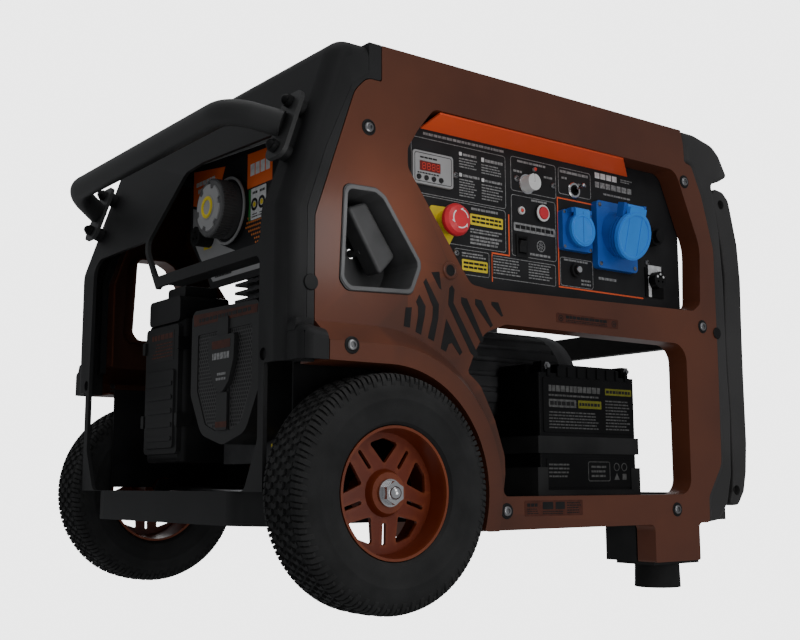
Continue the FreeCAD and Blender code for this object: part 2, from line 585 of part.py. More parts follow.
for i in range(24):
    a = math.radians(15 * i + 7.5)
    stator = stator.cut(cyl(186, CRANK_Y + 82 * math.cos(a), CRANK_Z + 82 * math.sin(a), 4.5, 244, "x"))
adapter = revolve_x([(130.2, 40), (130.2, 88), (150, 90), (165, 90), (175, 80), (175, 61), (165, 61), (165, 40)])
eye = Part.makeTorus(16, 4.5, V(330, CRANK_Y, CRANK_Z + 80 + 21), V(1, 0, 0))
stator = fuse([stator, adapter, cyl(330, CRANK_Y, CRANK_Z + 76, 11, 8, "z"), eye])
print("stator", len(stator.Solids))
put("stator_housing", stator)
bell = revolve_x([(410.2, 60), (410.2, 79), (425, 80), (440, 80), (446, 74), (450, 56), (450, 17.9), (440, 17.9), (440, 50), (425, 54), (425, 60)])
for i in range(12):
    a = math.radians(30 * i)
    bell = bell.cut(cyl(430, CRANK_Y + 66 * math.cos(a), CRANK_Z + 66 * math.sin(a), 7, 40, "x"))
bell = sorted(bell.Solids, key=lambda s: -s.Volume)[0]
put("end_bell", bell)
mts = []
for x, y in ((32, 178), (32, 302), (110, 178), (110, 302)):
    mts.append(cyl(x, y, 124.1, 15, 13.8, "z"))
mts += [cyl(430, y, 124.1, 16, 20, "z") for y in (190, 280)]
put("rubber_mounts", group(mts))
cradle = fuse([box(417, 172, 144.2, 443, 298, 152), box(417, 192, 150, 443, 278, 210)])
cradle = cradle.cut(cyl(300, CRANK_Y, CRANK_Z, 80.2, 300, "x"))
mb = [box(170, 470, 99.1, 176, 520, 329.8), box(404, 470, 99.1, 409.8, 520, 329.8)]
put("brackets", group(br + mb + [cradle]))
air = box(-76, 363, 168, 6, 469, 356)
air = fillet(air, 10, lambda e: bb(e).XMin < -75 and bb(e).XMax < -75)
air = air.cut(box(-73, 366, 171, 3, 466, 353))
air = air.cut(cyl(0, 400, 300, 16, 20, "x"))
put("air_cleaner", air)
carb = fuse([cyl(6.2, 400, 300, 16, 40, "x"), box(30, 330.2, 284, 62, 418, 324)])
put("carburettor", carb)
muf = box(150, 420, 330, 430, 540, 440)
muf = fillet(muf, 26, lambda e: bb(e).XLength > 200)
muf = muf.cut(fillet(box(152.5, 422.5, 332.5, 427.5, 537.5, 437.5), 23.5, lambda e: bb(e).XLength > 200))
muf = fuse([muf, cyl(428, 480, 385, 16, 62, "x")]).cut(cyl(420, 480, 385, 14, 80, "x"))
exh = fuse([box(112.3, 330, 400, 128, 360, 430), cyl(128, 345, 415, 12, 40, "x"), cyl(168, 345, 415, 12, 80, "y")])
exh = exh.cut(muf)
exh = sorted(exh.Solids, key=lambda s: -s.Volume)[0]
put("muffler", group([muf, exh]))
put("oil_dipstick", fuse([cyl(-31, 185, 178, 9, 13, "x"), cyl(-36, 185, 178, 13, 5.8, "x"), box(-44, 182, 169, -35, 188, 187)]))

# ---------------------------------------------------------------------------
# control box and everything on its face
# ---------------------------------------------------------------------------
PLATE = [(26, 587), (26, 505), (118, 378), (570, 378), (570, 587)]
PIN = [(29, 584), (29, 506), (119.5, 381), (567, 381), (567, 584)]
cb = xz(PLATE, CP_Y + 2.2, CP_Y + 60).cut(xz(PIN, CP_Y + 1, CP_Y + 57))
cb = cb.cut(cyl(10, 60, 408, 9, 60))
put("control_box", sorted(cb.Solids, key=lambda s: -s.Volume)[0])
face = xz(PLATE, CP_Y, CP_Y + 2)

# x and z of each item on the panel face
ESTOP = (129, 456)
SEL = (268, 527)
START = (293, 491)
ROCK = (257, 443)
TOG = (355, 532)
BRK = (354, 422)
SOC_S = (352, 474)
SOC_L = (429, 476)
FIT = (508, 486)
AUX = (512, 424)
DISP = (77, 140, 499, 540)
BTN_X = (86.0, 97.5, 109.0, 120.5)
BTN_Z = 507.0
SCREWS = [(146.5, 519), (250, 532), (317, 532.5), (146.5, 420.5), (500.5, 449.5)]
for h in [cyl(ESTOP[0], CP_Y - 5, ESTOP[1], 11.2, 20), cyl(SEL[0], CP_Y - 5, SEL[1], 4.2, 20), cyl(START[0], CP_Y - 5, START[1], 5.4, 20),
          cyl(TOG[0], CP_Y - 5, TOG[1], 4.2, 20), cyl(BRK[0], CP_Y - 5, BRK[1], 6.4, 20),
          box(ROCK[0] - 7.2, CP_Y - 5, ROCK[1] - 11.2, ROCK[0] + 7.2, CP_Y + 10, ROCK[1] + 11.2)]:
    face = face.cut(h)
put("control_panel", face)
# sloping header strip from the window's upper edge back to the panel face
hdr = yz([(41, 582.2, 0), (CP_Y - 0.05, 571.4, 0), (CP_Y - 0.05, 569.2, 0), (41, 580.0, 0)], 80, 480)
put("panel_header", hdr.common(xy([(98, 40, 0), (421, 40, 0), (466, 73, 0), (92, 73, 0)], 560, 590)))
disp = xz([(DISP[0], DISP[2], 4), (DISP[1], DISP[2], 4), (DISP[1], DISP[3], 4), (DISP[0], DISP[3], 4)], CP_Y - 4, CP_Y - 0.1)
disp = disp.cut(box(87, CP_Y - 6, 515, 120, CP_Y - 3, 528))
for bx in BTN_X:
    disp = disp.cut(cyl(bx, CP_Y - 5, BTN_Z, 3.5, 10))
lens = box(87.2, CP_Y - 3.9, 515.2, 119.8, CP_Y - 3.0, 527.8)
leds = [cyl(x, CP_Y - 3, z, r, 2.9) for x, z, r in [(282, 549, 2.6), (257, 490, 3.2)]]
put("display_module", group([disp, lens] + leds))
for i, bx in enumerate(BTN_X):
    put("display_button_%d" % (i + 1), cyl(bx, CP_Y - 5.2, BTN_Z, 3.1, 4.4))
est_b = xz([(ESTOP[0] - 27, ESTOP[1] + 19, 4), (ESTOP[0] + 35, ESTOP[1] + 21, 4), (ESTOP[0] + 3, ESTOP[1] - 32, 4)], CP_Y - 1.2, CP_Y - 0.1)
est_b = fuse([est_b, cyl(ESTOP[0], CP_Y - 10, ESTOP[1], 15, 9), cyl(ESTOP[0], CP_Y - 1.2, ESTOP[1], 11, 34)]).cut(cyl(ESTOP[0], CP_Y - 20, ESTOP[1], 6.3, 60))
put("emergency_stop_base", est_b)
mush = revolve_y([(0.0, 40), (10, 40.6), (17, 43.5), (20, 48), (20, 53), (18.5, 55.4), (6.22, 55.4), (6.22, 84), (0.0, 84)], x=ESTOP[0], z=ESTOP[1])
put("emergency_stop_button", mush)
sel = fuse([cyl(SEL[0], CP_Y - 16, SEL[1], 11, 15.5), cyl(SEL[0], CP_Y - 1, SEL[1], 3.9, 14)])
sel = sel.cut(box(SEL[0] - 1, CP_Y - 18, SEL[1], SEL[0] + 1, CP_Y - 14.5, SEL[1] + 14))
put("selector_knob", sel)
start_ring = ring(START[0], CP_Y - 4, START[1], 8.3, 11, 3.9)
put("start_button", fuse([cyl(START[0], CP_Y - 7, START[1], 8.0, 3.8), cyl(START[0], CP_Y - 4, START[1], 5, 16)]))
rf = box(ROCK[0] - 10, CP_Y - 2, ROCK[1] - 15, ROCK[0] + 10, CP_Y - 0.1, ROCK[1] + 15)
rf = fuse([rf, box(ROCK[0] - 7.1, CP_Y - 2, ROCK[1] - 11.1, ROCK[0] + 7.1, CP_Y + 16, ROCK[1] + 11.1)])
rf = rf.cut(box(ROCK[0] - 6.2, CP_Y - 3, ROCK[1] - 9.6, ROCK[0] + 6.2, CP_Y + 14, ROCK[1] + 9.6))
ry, rz = CP_Y + 2.0, ROCK[1]
rk = yz([(ry - 7, rz - 8.0, 1), (ry - 5.2, rz, 0), (ry - 7, rz + 8.0, 1), (ry + 3, rz + 6.5, 0), (ry + 7, rz + 3, 0), (ry + 7, rz - 3, 0), (ry + 3, rz - 6.5, 0)], ROCK[0] - 5.8, ROCK[0] + 5.8)
rk.rotate(V(0, ry, rz), V(1, 0, 0), 10)
put("rocker_switch", rk)
tb = fuse([hexa(TOG[0], CP_Y - 4, TOG[1], 13, 3.9), cyl(TOG[0], CP_Y - 6, TOG[1], 4.1, 20)]).cut(Part.makeCone(3.8, 2.7, 12, V(TOG[0], CP_Y - 6.1, TOG[1]), V(0, 1, 0)))
tg = fuse([Part.makeCone(2.6, 1.5, 16, V(TOG[0], CP_Y - 20, TOG[1]), V(0, 1, 0)), Part.makeSphere(2.9, V(TOG[0], CP_Y - 19, TOG[1]))])
tg.rotate(V(TOG[0], CP_Y, TOG[1]), V(1, 0, 0), -11)
put("toggle_lever", tg)
br_c = ring(BRK[0], CP_Y - 5, BRK[1], 6.4, 9.5, 4.9)
put("breaker_button", fuse([cyl(BRK[0], CP_Y - 9, BRK[1], 6.0, 12), cyl(BRK[0], CP_Y + 2.5, BRK[1], 4.0, 10)]))

# domestic socket and its sprung lid
sx, sz = SOC_S
ss = xz([(sx - 28, sz - 27, 5), (sx + 28, sz - 27, 5), (sx + 28, sz + 27, 5), (sx - 28, sz + 27, 5)], CP_Y - 9, CP_Y - 0.1)
ss = fuse([ss, cyl(sx, CP_Y - 15, sz, 23, 7)] + [box(sx + a, CP_Y - 17.5, sz + 22.5, sx + a + 5, CP_Y - 8.5, sz + 28.5) for a in (-19.5, 14.5)]).cut(cyl(sx, CP_Y - 16, sz, 19.5, 14))
put("socket_small", ss)
lid = fuse([cyl(sx, CP_Y - 20, sz, 22.5, 4.5), box(sx - 13.5, CP_Y - 20, sz, sx + 13.5, CP_Y - 15.5, sz + 26.5), cyl(sx - 13.5, CP_Y - 16, sz + 26.5, 3.4, 27, "x")])
put("socket_small_lid", lid)
# industrial socket, tilted housing and its sprung lid
lx, lz = SOC_L
TILT = 14.0
DIRL = V(0, -math.cos(math.radians(TILT)), -math.sin(math.radians(TILT)))
b0 = V(lx, CP_Y + 10, lz + 8)
LEN_L = 46.0
fl_l = xz([(lx - 40, lz - 47, 6), (lx + 40, lz - 47, 6), (lx + 40, lz + 47, 6), (lx - 40, lz + 47, 6)], CP_Y - 10, CP_Y - 0.1)
barrel = Part.makeCylinder(31, LEN_L, b0, DIRL).common(box(lx - 60, 0, lz - 80, lx + 60, CP_Y - 5, lz + 80))


def loc(s, d):
    s = s.copy()
    s.rotate(V(0, 0, 0), V(1, 0, 0), TILT)
    s.translate(b0 + DIRL * d)
    return s


lugs = [loc(box(x0, 0.5, 24, x0 + 5, 12, 43), LEN_L) for x0 in (-22, 17)]
sl = fuse([fl_l, barrel] + lugs).cut(Part.makeCylinder(26.5, 46, b0 + DIRL * 16, DIRL))
sl = sl.cut(box(lx - 60, CP_Y - 0.1, lz - 80, lx + 60, CP_Y + 60, lz + 80))
pins = []
for i in range(3):
    a = math.radians(90 + 120 * i)
    side = DIRL.cross(V(1, 0, 0))
    c = b0 + DIRL * 16.1 + V(1, 0, 0) * (13 * math.cos(a)) + side * (13 * math.sin(a))
    pins.append(Part.makeCylinder(3.2, 22, c, DIRL))
slm = sorted(sl.Solids, key=lambda s: -s.Volume)[0]
put("socket_large", group([slm] + pins))
lidL = fuse([Part.makeCylinder(33, 6, V(0, 0, 0), V(0, -1, 0)), box(-16, -6, 0, 16, 0, 38), cyl(-16, 3, 38, 4.2, 32, "x"), box(-16, -2, 34, 16, 3, 38)])
put("socket_large_lid", loc(lidL, LEN_L + 0.5))
hl = loc(Part.Vertex(0, 3, 38), LEN_L + 0.5)
print("large lid hinge (working)", hl.Point)
fit = fuse([cyl(FIT[0], CP_Y - 14, FIT[1], 13, 13.9), cyl(FIT[0], CP_Y - 20, FIT[1], 9, 6)])
aux = fuse([box(AUX[0] - 18, CP_Y - 2, AUX[1] - 24, AUX[0] + 20, CP_Y - 0.1, AUX[1] + 18), cyl(AUX[0], CP_Y - 14, AUX[1], 12, 12)])
for i in range(3):
    a = math.radians(90 + 120 * i)
    aux = aux.cut(cyl(AUX[0] + 5 * math.cos(a), CP_Y - 15, AUX[1] + 5 * math.sin(a), 1.6, 8))

# side pocket for the starter grip
pk = xz([(p[0] + (0.6 if p[0] < 0 else -0.6), p[1] + (0.6 if p[1] < 420 else -0.6), p[2]) for p in WIN_POCKET], PANEL_Y - 1.5, 105)
pki = xz([(-39, 466, 8), (-2, 467, 10), (9, 461, 8), (58, 393, 8), (58, 387, 6), (47, 360, 8), (-36, 356, 10), (-44, 365, 8)], PANEL_Y - 3, 102)
pk = pk.cut(pki).cut(cyl(10, 95, 408, 6, 20))
put("starter_pocket", pk)
gsh = xz([(-22, 452, 4), (4, 462, 6), (46, 402, 6), (24, 378, 4)], 62, 88)
gsh = fillet(gsh, 4, lambda e: abs(bb(e).YMin - 62) < 0.01 and abs(bb(e).YMax - 62) < 0.01)
put("starter_grip", fuse([gsh, cyl(10, 80, 408, 5, 24)]))

# engine-end instrument panel behind the sloping window
KC = (301.0, 491.0)
ep = yz([(108, 396, 6), (356, 396, 6), (390, 452, 10), (340, 560, 10), (108, 560, 6)], -40, -37)
ep = fuse([ep, cyl(-46, KC[0], KC[1], 44, 6.5, "x")])
ep = ep.cut(cyl(-50, KC[0], KC[1], 6.3, 20, "x"))
put("end_panel", ep)
kn = fuse([cyl(-74, KC[0], KC[1], 37, 27.6, "x"), cyl(-47, KC[0], KC[1], 6.22, 16, "x")])
kn = fillet(kn, 3, lambda e: bb(e).XMax < -73.9)
kn = kn.cut(box(-76, KC[0] - 3, KC[1], -72.5, KC[0] + 3, KC[1] + 34))
put("engine_selector", kn)
ec = cyl(-62, 362, 466, 13, 21.9, "x")
for i in range(3):
    a = math.radians(90 + 120 * i)
    ec = ec.cut(cyl(-63, 362 + 5.5 * math.cos(a), 466 + 5.5 * math.sin(a), 1.8, 8, "x"))
put("panel_fittings", group([start_ring, rf, tb, br_c, fit, aux, ec]))

# ---------------------------------------------------------------------------
# battery
# ---------------------------------------------------------------------------
BX, BY, BZ = 286.0, 75.0, 127.0
bat = box(BX, BY, BZ, BX + 181, BY + 77, BZ + 152)
lidb = box(BX, BY, BZ + 152, BX + 181, BY + 77, BZ + 167)
for x0 in (BX, BX + 146):
    lidb = lidb.cut(box(x0 - 1, BY - 1, BZ + 155, x0 + 36, BY + 24, BZ + 170))
bat = fuse([bat, lidb])
bat = fillet(bat, 2.5, lambda e: bb(e).ZLength > 140)
term = [box(x, BY + 3, BZ + 155, x + 14, BY + 18, BZ + 170).cut(cyl(x + 7, BY, BZ + 164, 2.7, 30)) for x in (BX + 8, BX + 159)]
put("battery", group([bat] + term))
tr = box(BX - 6, BY - 1.5, 124.1, BX + 187, BY + 84, 160).cut(box(BX - 0.2, BY - 0.2, 126.9, BX + 181.2, BY + 77.2, 170))
tr = tr.cut(box(BX + 12, BY - 5, 131, BX + 169, BY + 1, 170))
st = box(BX - 4.4, BY - 1.4, 178, BX + 185.4, BY + 81.4, 200).cut(box(BX - 0.2, BY - 0.2, 170, BX + 181.2, BY + 77.2, 210))
st = fuse([st] + [box(x, BY + 77.2, 160.1, x + 14, BY + 81.4, 199) for x in (BX + 10, BX + 157)])
put("battery_tray", group([tr, st]))

# ---------------------------------------------------------------------------
# fasteners of the body, the handle and the control panel
# ---------------------------------------------------------------------------
bl = []
for x, z in ((-10, 542), (547, 568), (193, 107), (505, 104), (575, 360)):
    bl.append(fuse([cyl(x, PANEL_Y - 3, z, 7, 2.9), cyl(x, PANEL_Y - 1, z, 4.1, 16)]))
bl.append(fuse([cyl(-53, BAND_Y - 3, 286, 7, 2.9), cyl(-53, BAND_Y - 1, 286, 4.1, 16)]))
bl += [cyl(-86.5, PANEL_Y - 1.6, 355, 4.2, 1.5), cyl(607, PANEL_Y - 1.6, 353, 6.4, 1.5)]
sc = [cyl(x, CP_Y - 2.6, z, 4.2, 2.5) for x, z in SCREWS]
put("body_bolts", group(bl + [mirror_y(b) for b in bl] + bolts + sc))

allbb = None
for n, s in NODES.items():
    s.exportStep("parts/%s.step" % n)
    allbb = s.BoundBox if allbb is None else allbb.united(s.BoundBox)
print(len(NODES), "nodes", allbb)
for n, s in sorted(NODES.items()):
    print(n.ljust(24), len(s.Solids), s.isValid(), round(s.Volume / 1000.0, 1), "cm3")
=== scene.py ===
import math
import random

import bmesh
import bpy
from mathutils import Matrix, Vector

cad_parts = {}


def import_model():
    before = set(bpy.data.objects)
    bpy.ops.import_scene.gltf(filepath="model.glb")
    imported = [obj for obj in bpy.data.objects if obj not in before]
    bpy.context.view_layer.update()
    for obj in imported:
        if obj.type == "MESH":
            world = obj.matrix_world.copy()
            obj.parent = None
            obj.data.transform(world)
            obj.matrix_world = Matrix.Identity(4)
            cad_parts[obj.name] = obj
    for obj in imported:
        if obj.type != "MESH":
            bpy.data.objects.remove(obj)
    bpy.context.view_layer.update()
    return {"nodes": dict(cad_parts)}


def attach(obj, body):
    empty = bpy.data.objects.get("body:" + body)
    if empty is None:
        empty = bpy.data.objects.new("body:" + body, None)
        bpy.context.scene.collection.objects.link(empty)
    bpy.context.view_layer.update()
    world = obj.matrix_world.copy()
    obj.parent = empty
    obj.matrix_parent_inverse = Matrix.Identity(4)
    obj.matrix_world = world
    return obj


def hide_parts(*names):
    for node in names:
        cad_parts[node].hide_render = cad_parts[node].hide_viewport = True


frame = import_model()
N = frame["nodes"]
BACK = 3.7
SX, SY = -0.251, -0.325
RND = random.Random(7)


def W(x, y, z):
    """Working millimetres to the frame's metres."""
    return Vector((x / 1000 + SX, y / 1000 + SY, z / 1000))


# ---------------------------------------------------------------- materials
def nodes_of(m):
    m.use_nodes = True
    nt = m.node_tree
    nt.nodes.clear()
    return nt


def new(nt, kind, **kw):
    n = nt.nodes.new(kind)
    for k, v in kw.items():
        setattr(n, k, v)
    return n


def mat(name, base, rough=0.5, metal=0.0, spec=0.3, vary=0.12, vscale=14.0, grain=0.0, gscale=900.0, coat=0.0, wear=0.0,
        wear_col=(0.3, 0.3, 0.3), dust=0.0, lines=None, coat_rough=0.2):
    """Procedural surface: broad colour variation, fine grain bump, roughness mottling,
    light wear on convex edges and a little dust on faces that look up."""
    m = bpy.data.materials.new(name)
    nt = nodes_of(m)
    L = nt.links.new
    out = new(nt, "ShaderNodeOutputMaterial")
    bs = new(nt, "ShaderNodeBsdfPrincipled")
    bs.inputs["Metallic"].default_value = metal
    bs.inputs["Specular IOR Level"].default_value = spec
    bs.inputs["Coat Weight"].default_value = coat
    bs.inputs["Coat Roughness"].default_value = coat_rough
    L(bs.outputs[0], out.inputs[0])
    tc = new(nt, "ShaderNodeTexCoord")
    big = new(nt, "ShaderNodeTexNoise")
    big.inputs["Scale"].default_value = vscale
    big.inputs["Detail"].default_value = 5.0
    L(tc.outputs["Object"], big.inputs["Vector"])
    ramp = new(nt, "ShaderNodeValToRGB")
    lo = [c * (1 - vary) for c in base]
    hi = [min(1.0, c * (1 + vary) + 0.002) for c in base]
    ramp.color_ramp.elements[0].position = 0.35
    ramp.color_ramp.elements[1].position = 0.65
    ramp.color_ramp.elements[0].color = (*lo, 1)
    ramp.color_ramp.elements[1].color = (*hi, 1)
    L(big.outputs["Fac"], ramp.inputs["Fac"])
    col = ramp.outputs["Color"]
    fine = new(nt, "ShaderNodeTexNoise")
    fine.inputs["Scale"].default_value = gscale
    fine.inputs["Detail"].default_value = 3.0
    L(tc.outputs["Object"], fine.inputs["Vector"])
    if wear > 0 or dust > 0:
        geo = new(nt, "ShaderNodeNewGeometry")
    if wear > 0:
        er = new(nt, "ShaderNodeValToRGB")
        er.color_ramp.elements[0].position = 0.52
        er.color_ramp.elements[1].position = 0.62
        L(geo.outputs["Pointiness"], er.inputs["Fac"])
        mu = new(nt, "ShaderNodeMath", operation="MULTIPLY")
        L(er.outputs["Color"], mu.inputs[0])
        mu2 = new(nt, "ShaderNodeMath", operation="MULTIPLY")
        mu2.inputs[1].default_value = wear * 1.6
        L(big.outputs["Fac"], mu2.inputs[0])
        L(mu2.outputs[0], mu.inputs[1])
        mx = new(nt, "ShaderNodeMix", data_type="RGBA")
        L(mu.outputs[0], mx.inputs["Factor"])
        L(col, mx.inputs["A"])
        mx.inputs["B"].default_value = (*wear_col, 1)
        col = mx.outputs["Result"]
    if dust > 0:
        sep = new(nt, "ShaderNodeSeparateXYZ")
        L(geo.outputs["Normal"], sep.inputs[0])
        dm = new(nt, "ShaderNodeMath", operation="MULTIPLY")
        dm.inputs[1].default_value = dust
        dm.use_clamp = True
        L(sep.outputs["Z"], dm.inputs[0])
        dn = new(nt, "ShaderNodeMath", operation="MULTIPLY")
        L(dm.outputs[0], dn.inputs[0])
        L(fine.outputs["Fac"], dn.inputs[1])
        mx2 = new(nt, "ShaderNodeMix", data_type="RGBA")
        L(dn.outputs[0], mx2.inputs["Factor"])
        L(col, mx2.inputs["A"])
        mx2.inputs["B"].default_value = (0.30, 0.28, 0.26, 1)
        col = mx2.outputs["Result"]
    if lines:
        for fn in lines:
            col = fn(nt, tc, col)
    L(col, bs.inputs["Base Color"])
    mr = new(nt, "ShaderNodeMapRange")
    mr.inputs["To Min"].default_value = max(0.02, rough - 0.07)
    mr.inputs["To Max"].default_value = min(1.0, rough + 0.07)
    L(big.outputs["Fac"], mr.inputs["Value"])
    L(mr.outputs["Result"], bs.inputs["Roughness"])
    if grain > 0:
        bp = new(nt, "ShaderNodeBump")
        bp.inputs["Strength"].default_value = grain
        bp.inputs["Distance"].default_value = 0.0004
        L(fine.outputs["Fac"], bp.inputs["Height"])
        L(bp.outputs["Normal"], bs.inputs["Normal"])
    return m


M = {}
M["panel"] = mat("m_panel_paint", (0.066, 0.0225, 0.0128), rough=0.42, spec=0.35, vary=0.10, vscale=6, grain=0.10, gscale=500, wear=0.35, wear_col=(0.24, 0.06, 0.02), coat=0.05)
M["black"] = mat("m_black_moulding", (0.0145, 0.0145, 0.015), rough=0.55, spec=0.16, vary=0.14, vscale=9, grain=0.35, gscale=1400, wear=0.35, wear_col=(0.05, 0.05, 0.05))
M["blackpaint"] = mat("m_black_paint", (0.0036, 0.0036, 0.0039), rough=0.45, spec=0.12, vary=0.15, vscale=12, grain=0.08, gscale=600, wear=0.4, wear_col=(0.06, 0.06, 0.06))
M["inner"] = mat("m_inner_dark", (0.0115, 0.0115, 0.012), rough=0.7, spec=0.12, vary=0.2, vscale=20, grain=0.1)
M["handle"] = mat("m_handle_coat", (0.026, 0.026, 0.026), rough=0.48, spec=0.3, vary=0.12, vscale=10, grain=0.4, gscale=1600, wear=0.3, wear_col=(0.07, 0.07, 0.07))
M["tyre"] = mat("m_tyre_rubber", (0.022, 0.022, 0.022), rough=0.78, spec=0.2, vary=0.22, vscale=22, grain=0.5, gscale=700, dust=0.10)
M["rubber"] = mat("m_soft_rubber", (0.014, 0.014, 0.014), rough=0.8, spec=0.2, vary=0.2, vscale=30, grain=0.4, gscale=900, dust=0.05)
M["rim"] = mat("m_rim_orange", (0.145, 0.021, 0.005), rough=0.4, spec=0.35, vary=0.12, vscale=16, grain=0.06, gscale=800, wear=0.25, wear_col=(0.5, 0.14, 0.04))
M["steel"] = mat("m_bare_steel", (0.26, 0.26, 0.265), rough=0.34, metal=1.0, vary=0.12, vscale=30, grain=0.12, gscale=1200)
M["chrome"] = mat("m_bright_chrome", (0.62, 0.62, 0.63), rough=0.18, metal=1.0, vary=0.06, vscale=20)
M["cast"] = mat("m_cast_alloy", (0.060, 0.060, 0.062), rough=0.55, metal=0.35, vary=0.2, vscale=25, grain=0.6, gscale=500)
M["castlight"] = mat("m_cast_alloy_light", (0.16, 0.16, 0.165), rough=0.5, metal=0.4, vary=0.18, vscale=25, grain=0.6, gscale=500)
M["grey"] = mat("m_grey_plastic", (0.017, 0.0175, 0.0175), rough=0.5, spec=0.14, vary=0.12, vscale=14, grain=0.3, gscale=1200)
M["lightgrey"] = mat("m_light_grey_plastic", (0.36, 0.36, 0.36), rough=0.45, spec=0.35, vary=0.08, vscale=20, grain=0.15, gscale=1200)
M["white"] = mat("m_white_plastic", (0.80, 0.80, 0.79), rough=0.35, spec=0.4, vary=0.06, vscale=20, grain=0.1)
M["battery"] = mat("m_battery_case", (0.0030, 0.0030, 0.0033), rough=0.4, spec=0.12, vary=0.15, vscale=18, grain=0.25, gscale=1500)
M["red"] = mat("m_red_plastic", (0.66, 0.028, 0.040), rough=0.34, spec=0.45, vary=0.08, vscale=20, grain=0.06)
M["yellow"] = mat("m_yellow_plastic", (0.80, 0.62, 0.03), rough=0.42, spec=0.35, vary=0.10, vscale=20, grain=0.08)
M["blue"] = mat("m_blue_plastic", (0.02, 0.12, 0.50), rough=0.36, spec=0.4, vary=0.10, vscale=18, grain=0.12, gscale=1500)
# painted light: a lighter copy of the socket blue for the lids, brightened to stand for the light falling on the panel
# recess
M["blue_painted_lit"] = mat("m_blue_lid_painted_lit", (0.05, 0.30, 0.95), rough=0.34, spec=0.3, vary=0.08, vscale=18, grain=0.12, gscale=1500)
# the header is really bright orange print; its base colour is pushed higher still as painted light, making up for the
# shade the header sits in
M["header"] = mat("m_header_orange_painted_light", (1.0, 0.115, 0.034), rough=0.42, spec=0.35, vary=0.06, vscale=10, grain=0.05)
M["face"] = mat("m_panel_face", (0.021, 0.021, 0.022), rough=0.5, spec=0.12, vary=0.15, vscale=16, grain=0.15, gscale=900)
M["orangeline"] = mat("m_orange_print", (0.95, 0.13, 0.035), rough=0.5, spec=0.3, vary=0.08)
M["ink"] = mat("m_grey_print", (0.26, 0.26, 0.26), rough=0.55, spec=0.25, vary=0.35, vscale=260)
M["inkdark"] = mat("m_black_print", (0.0075, 0.007, 0.007), rough=0.5, spec=0.25, vary=0.15, vscale=60)
M["lcd"] = mat("m_display_lens", (0.16, 0.012, 0.01), rough=0.12, spec=0.5, vary=0.12, vscale=120)

NODE_MAT = {
    "side_panel_front": "panel", "side_panel_back": "panel", "corner_trims": "black", "end_cap_engine": "black", "end_cap_rear": "black",
    "rear_guards": "black", "roof_cover": "black", "fuel_tank": "inner", "fuel_cap": "black", "base_tray": "inner", "axle": "chrome",
    "leg_beam": "blackpaint", "feet": "rubber", "tyre_front": "tyre", "rim_front": "rim", "tyre_back": "tyre", "rim_back": "rim",
    "arch_liners": "inner", "brackets": "inner", "tow_handle": "handle", "engine_block": "cast", "cylinder_head": "castlight",
    "recoil_cover": "grey", "flywheel": "cast", "recoil_pulley": "inner", "crankshaft": "steel", "stator_housing": "cast", "end_bell": "castlight",
    "rubber_mounts": "rubber", "air_cleaner": "blackpaint", "carburettor": "cast", "muffler": "cast", "oil_dipstick": "yellow",
    "control_box": "inner", "control_panel": "face", "panel_header": "header", "display_module": "lightgrey", "display_button_1": "black",
    "display_button_2": "black", "display_button_3": "black", "display_button_4": "black", "emergency_stop_base": "yellow",
    "emergency_stop_button": "red", "selector_knob": "white", "start_button": "red", "rocker_switch": "blackpaint", "toggle_lever": "chrome",
    "breaker_button": "blackpaint", "panel_fittings": "blackpaint", "socket_small": "blue", "socket_small_lid": "blue_painted_lit",
    "socket_large": "blue", "socket_large_lid": "blue_painted_lit", "starter_pocket": "black", "starter_grip": "blackpaint", "end_panel": "face",
    "engine_selector": "black", "battery": "battery", "battery_tray": "blackpaint", "body_bolts": "steel",
}
for n, o in N.items():
    o.data.materials.clear()
    o.data.materials.append(M[NODE_MAT.get(n, "black")])


# ---------------------------------------------------------------- mesh helpers
def obj(name, bm, material, smooth=None, body="chassis", node=None):
    me = bpy.data.meshes.new(name)
    bm.normal_update()
    bm.to_mesh(me)
    bm.free()
    o = bpy.data.objects.new(name, me)
    bpy.context.scene.collection.objects.link(o)
    me.materials.append(material)
    if smooth is not None:
        me.polygons.foreach_set("use_smooth", [True] * len(me.polygons))
        me.set_sharp_from_angle(angle=math.radians(smooth))
    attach(o, body)
    return o


def prism(bm, pts, fn, d0, d1, mat_i=0, inset=0.0):
    """Closed prism: 2-D polygon pts mapped by fn(a, b, depth) between depths d0 and d1."""
    n = len(pts)
    A = [bm.verts.new(fn(a, b, d0)) for a, b in pts]
    if inset > 0:
        cx = sum(p[0] for p in pts) / n
        cy = sum(p[1] for p in pts) / n
        Bp = []
        for a, b in pts:
            d = math.hypot(a - cx, b - cy) or 1
            Bp.append((a - (a - cx) / d * inset, b - (b - cy) / d * inset))
    else:
        Bp = pts
    Bv = [bm.verts.new(fn(a, b, d1)) for a, b in Bp]
    faces = [bm.faces.new(A), bm.faces.new(Bv[::-1])]
    for i in range(n):
        j = (i + 1) % n
        faces.append(bm.faces.new((A[i], Bv[i], Bv[j], A[j])))
    for f in faces:
        f.material_index = mat_i
    return faces


def fx_y(a, b, d):          # polygon in x-z, depth along y
    return W(a, d, b)


def fx_x(a, b, d):          # polygon in y-z, depth along x
    return W(d, a, b)


def fx_z(a, b, d):
    return W(a, b, d)


def rect(a0, b0, a1, b1, r=0.0, n=4):
    if r <= 0:
        return [(a0, b0), (a1, b0), (a1, b1), (a0, b1)]
    pts = []
    for cx, cy, s in ((a1 - r, b0 + r, -90), (a1 - r, b1 - r, 0), (a0 + r, b1 - r, 90), (a0 + r, b0 + r, 180)):
        for i in range(n + 1):
            t = math.radians(s + 90 * i / n)
            pts.append((cx + r * math.cos(t), cy + r * math.sin(t)))
    return pts


def disc(cx, cy, r, n=32, a0=0.0):
    return [(cx + r * math.cos(a0 + 2 * math.pi * i / n), cy + r * math.sin(a0 + 2 * math.pi * i / n)) for i in range(n)]


def recalc(bm):
    bmesh.ops.recalc_face_normals(bm, faces=bm.faces[:])


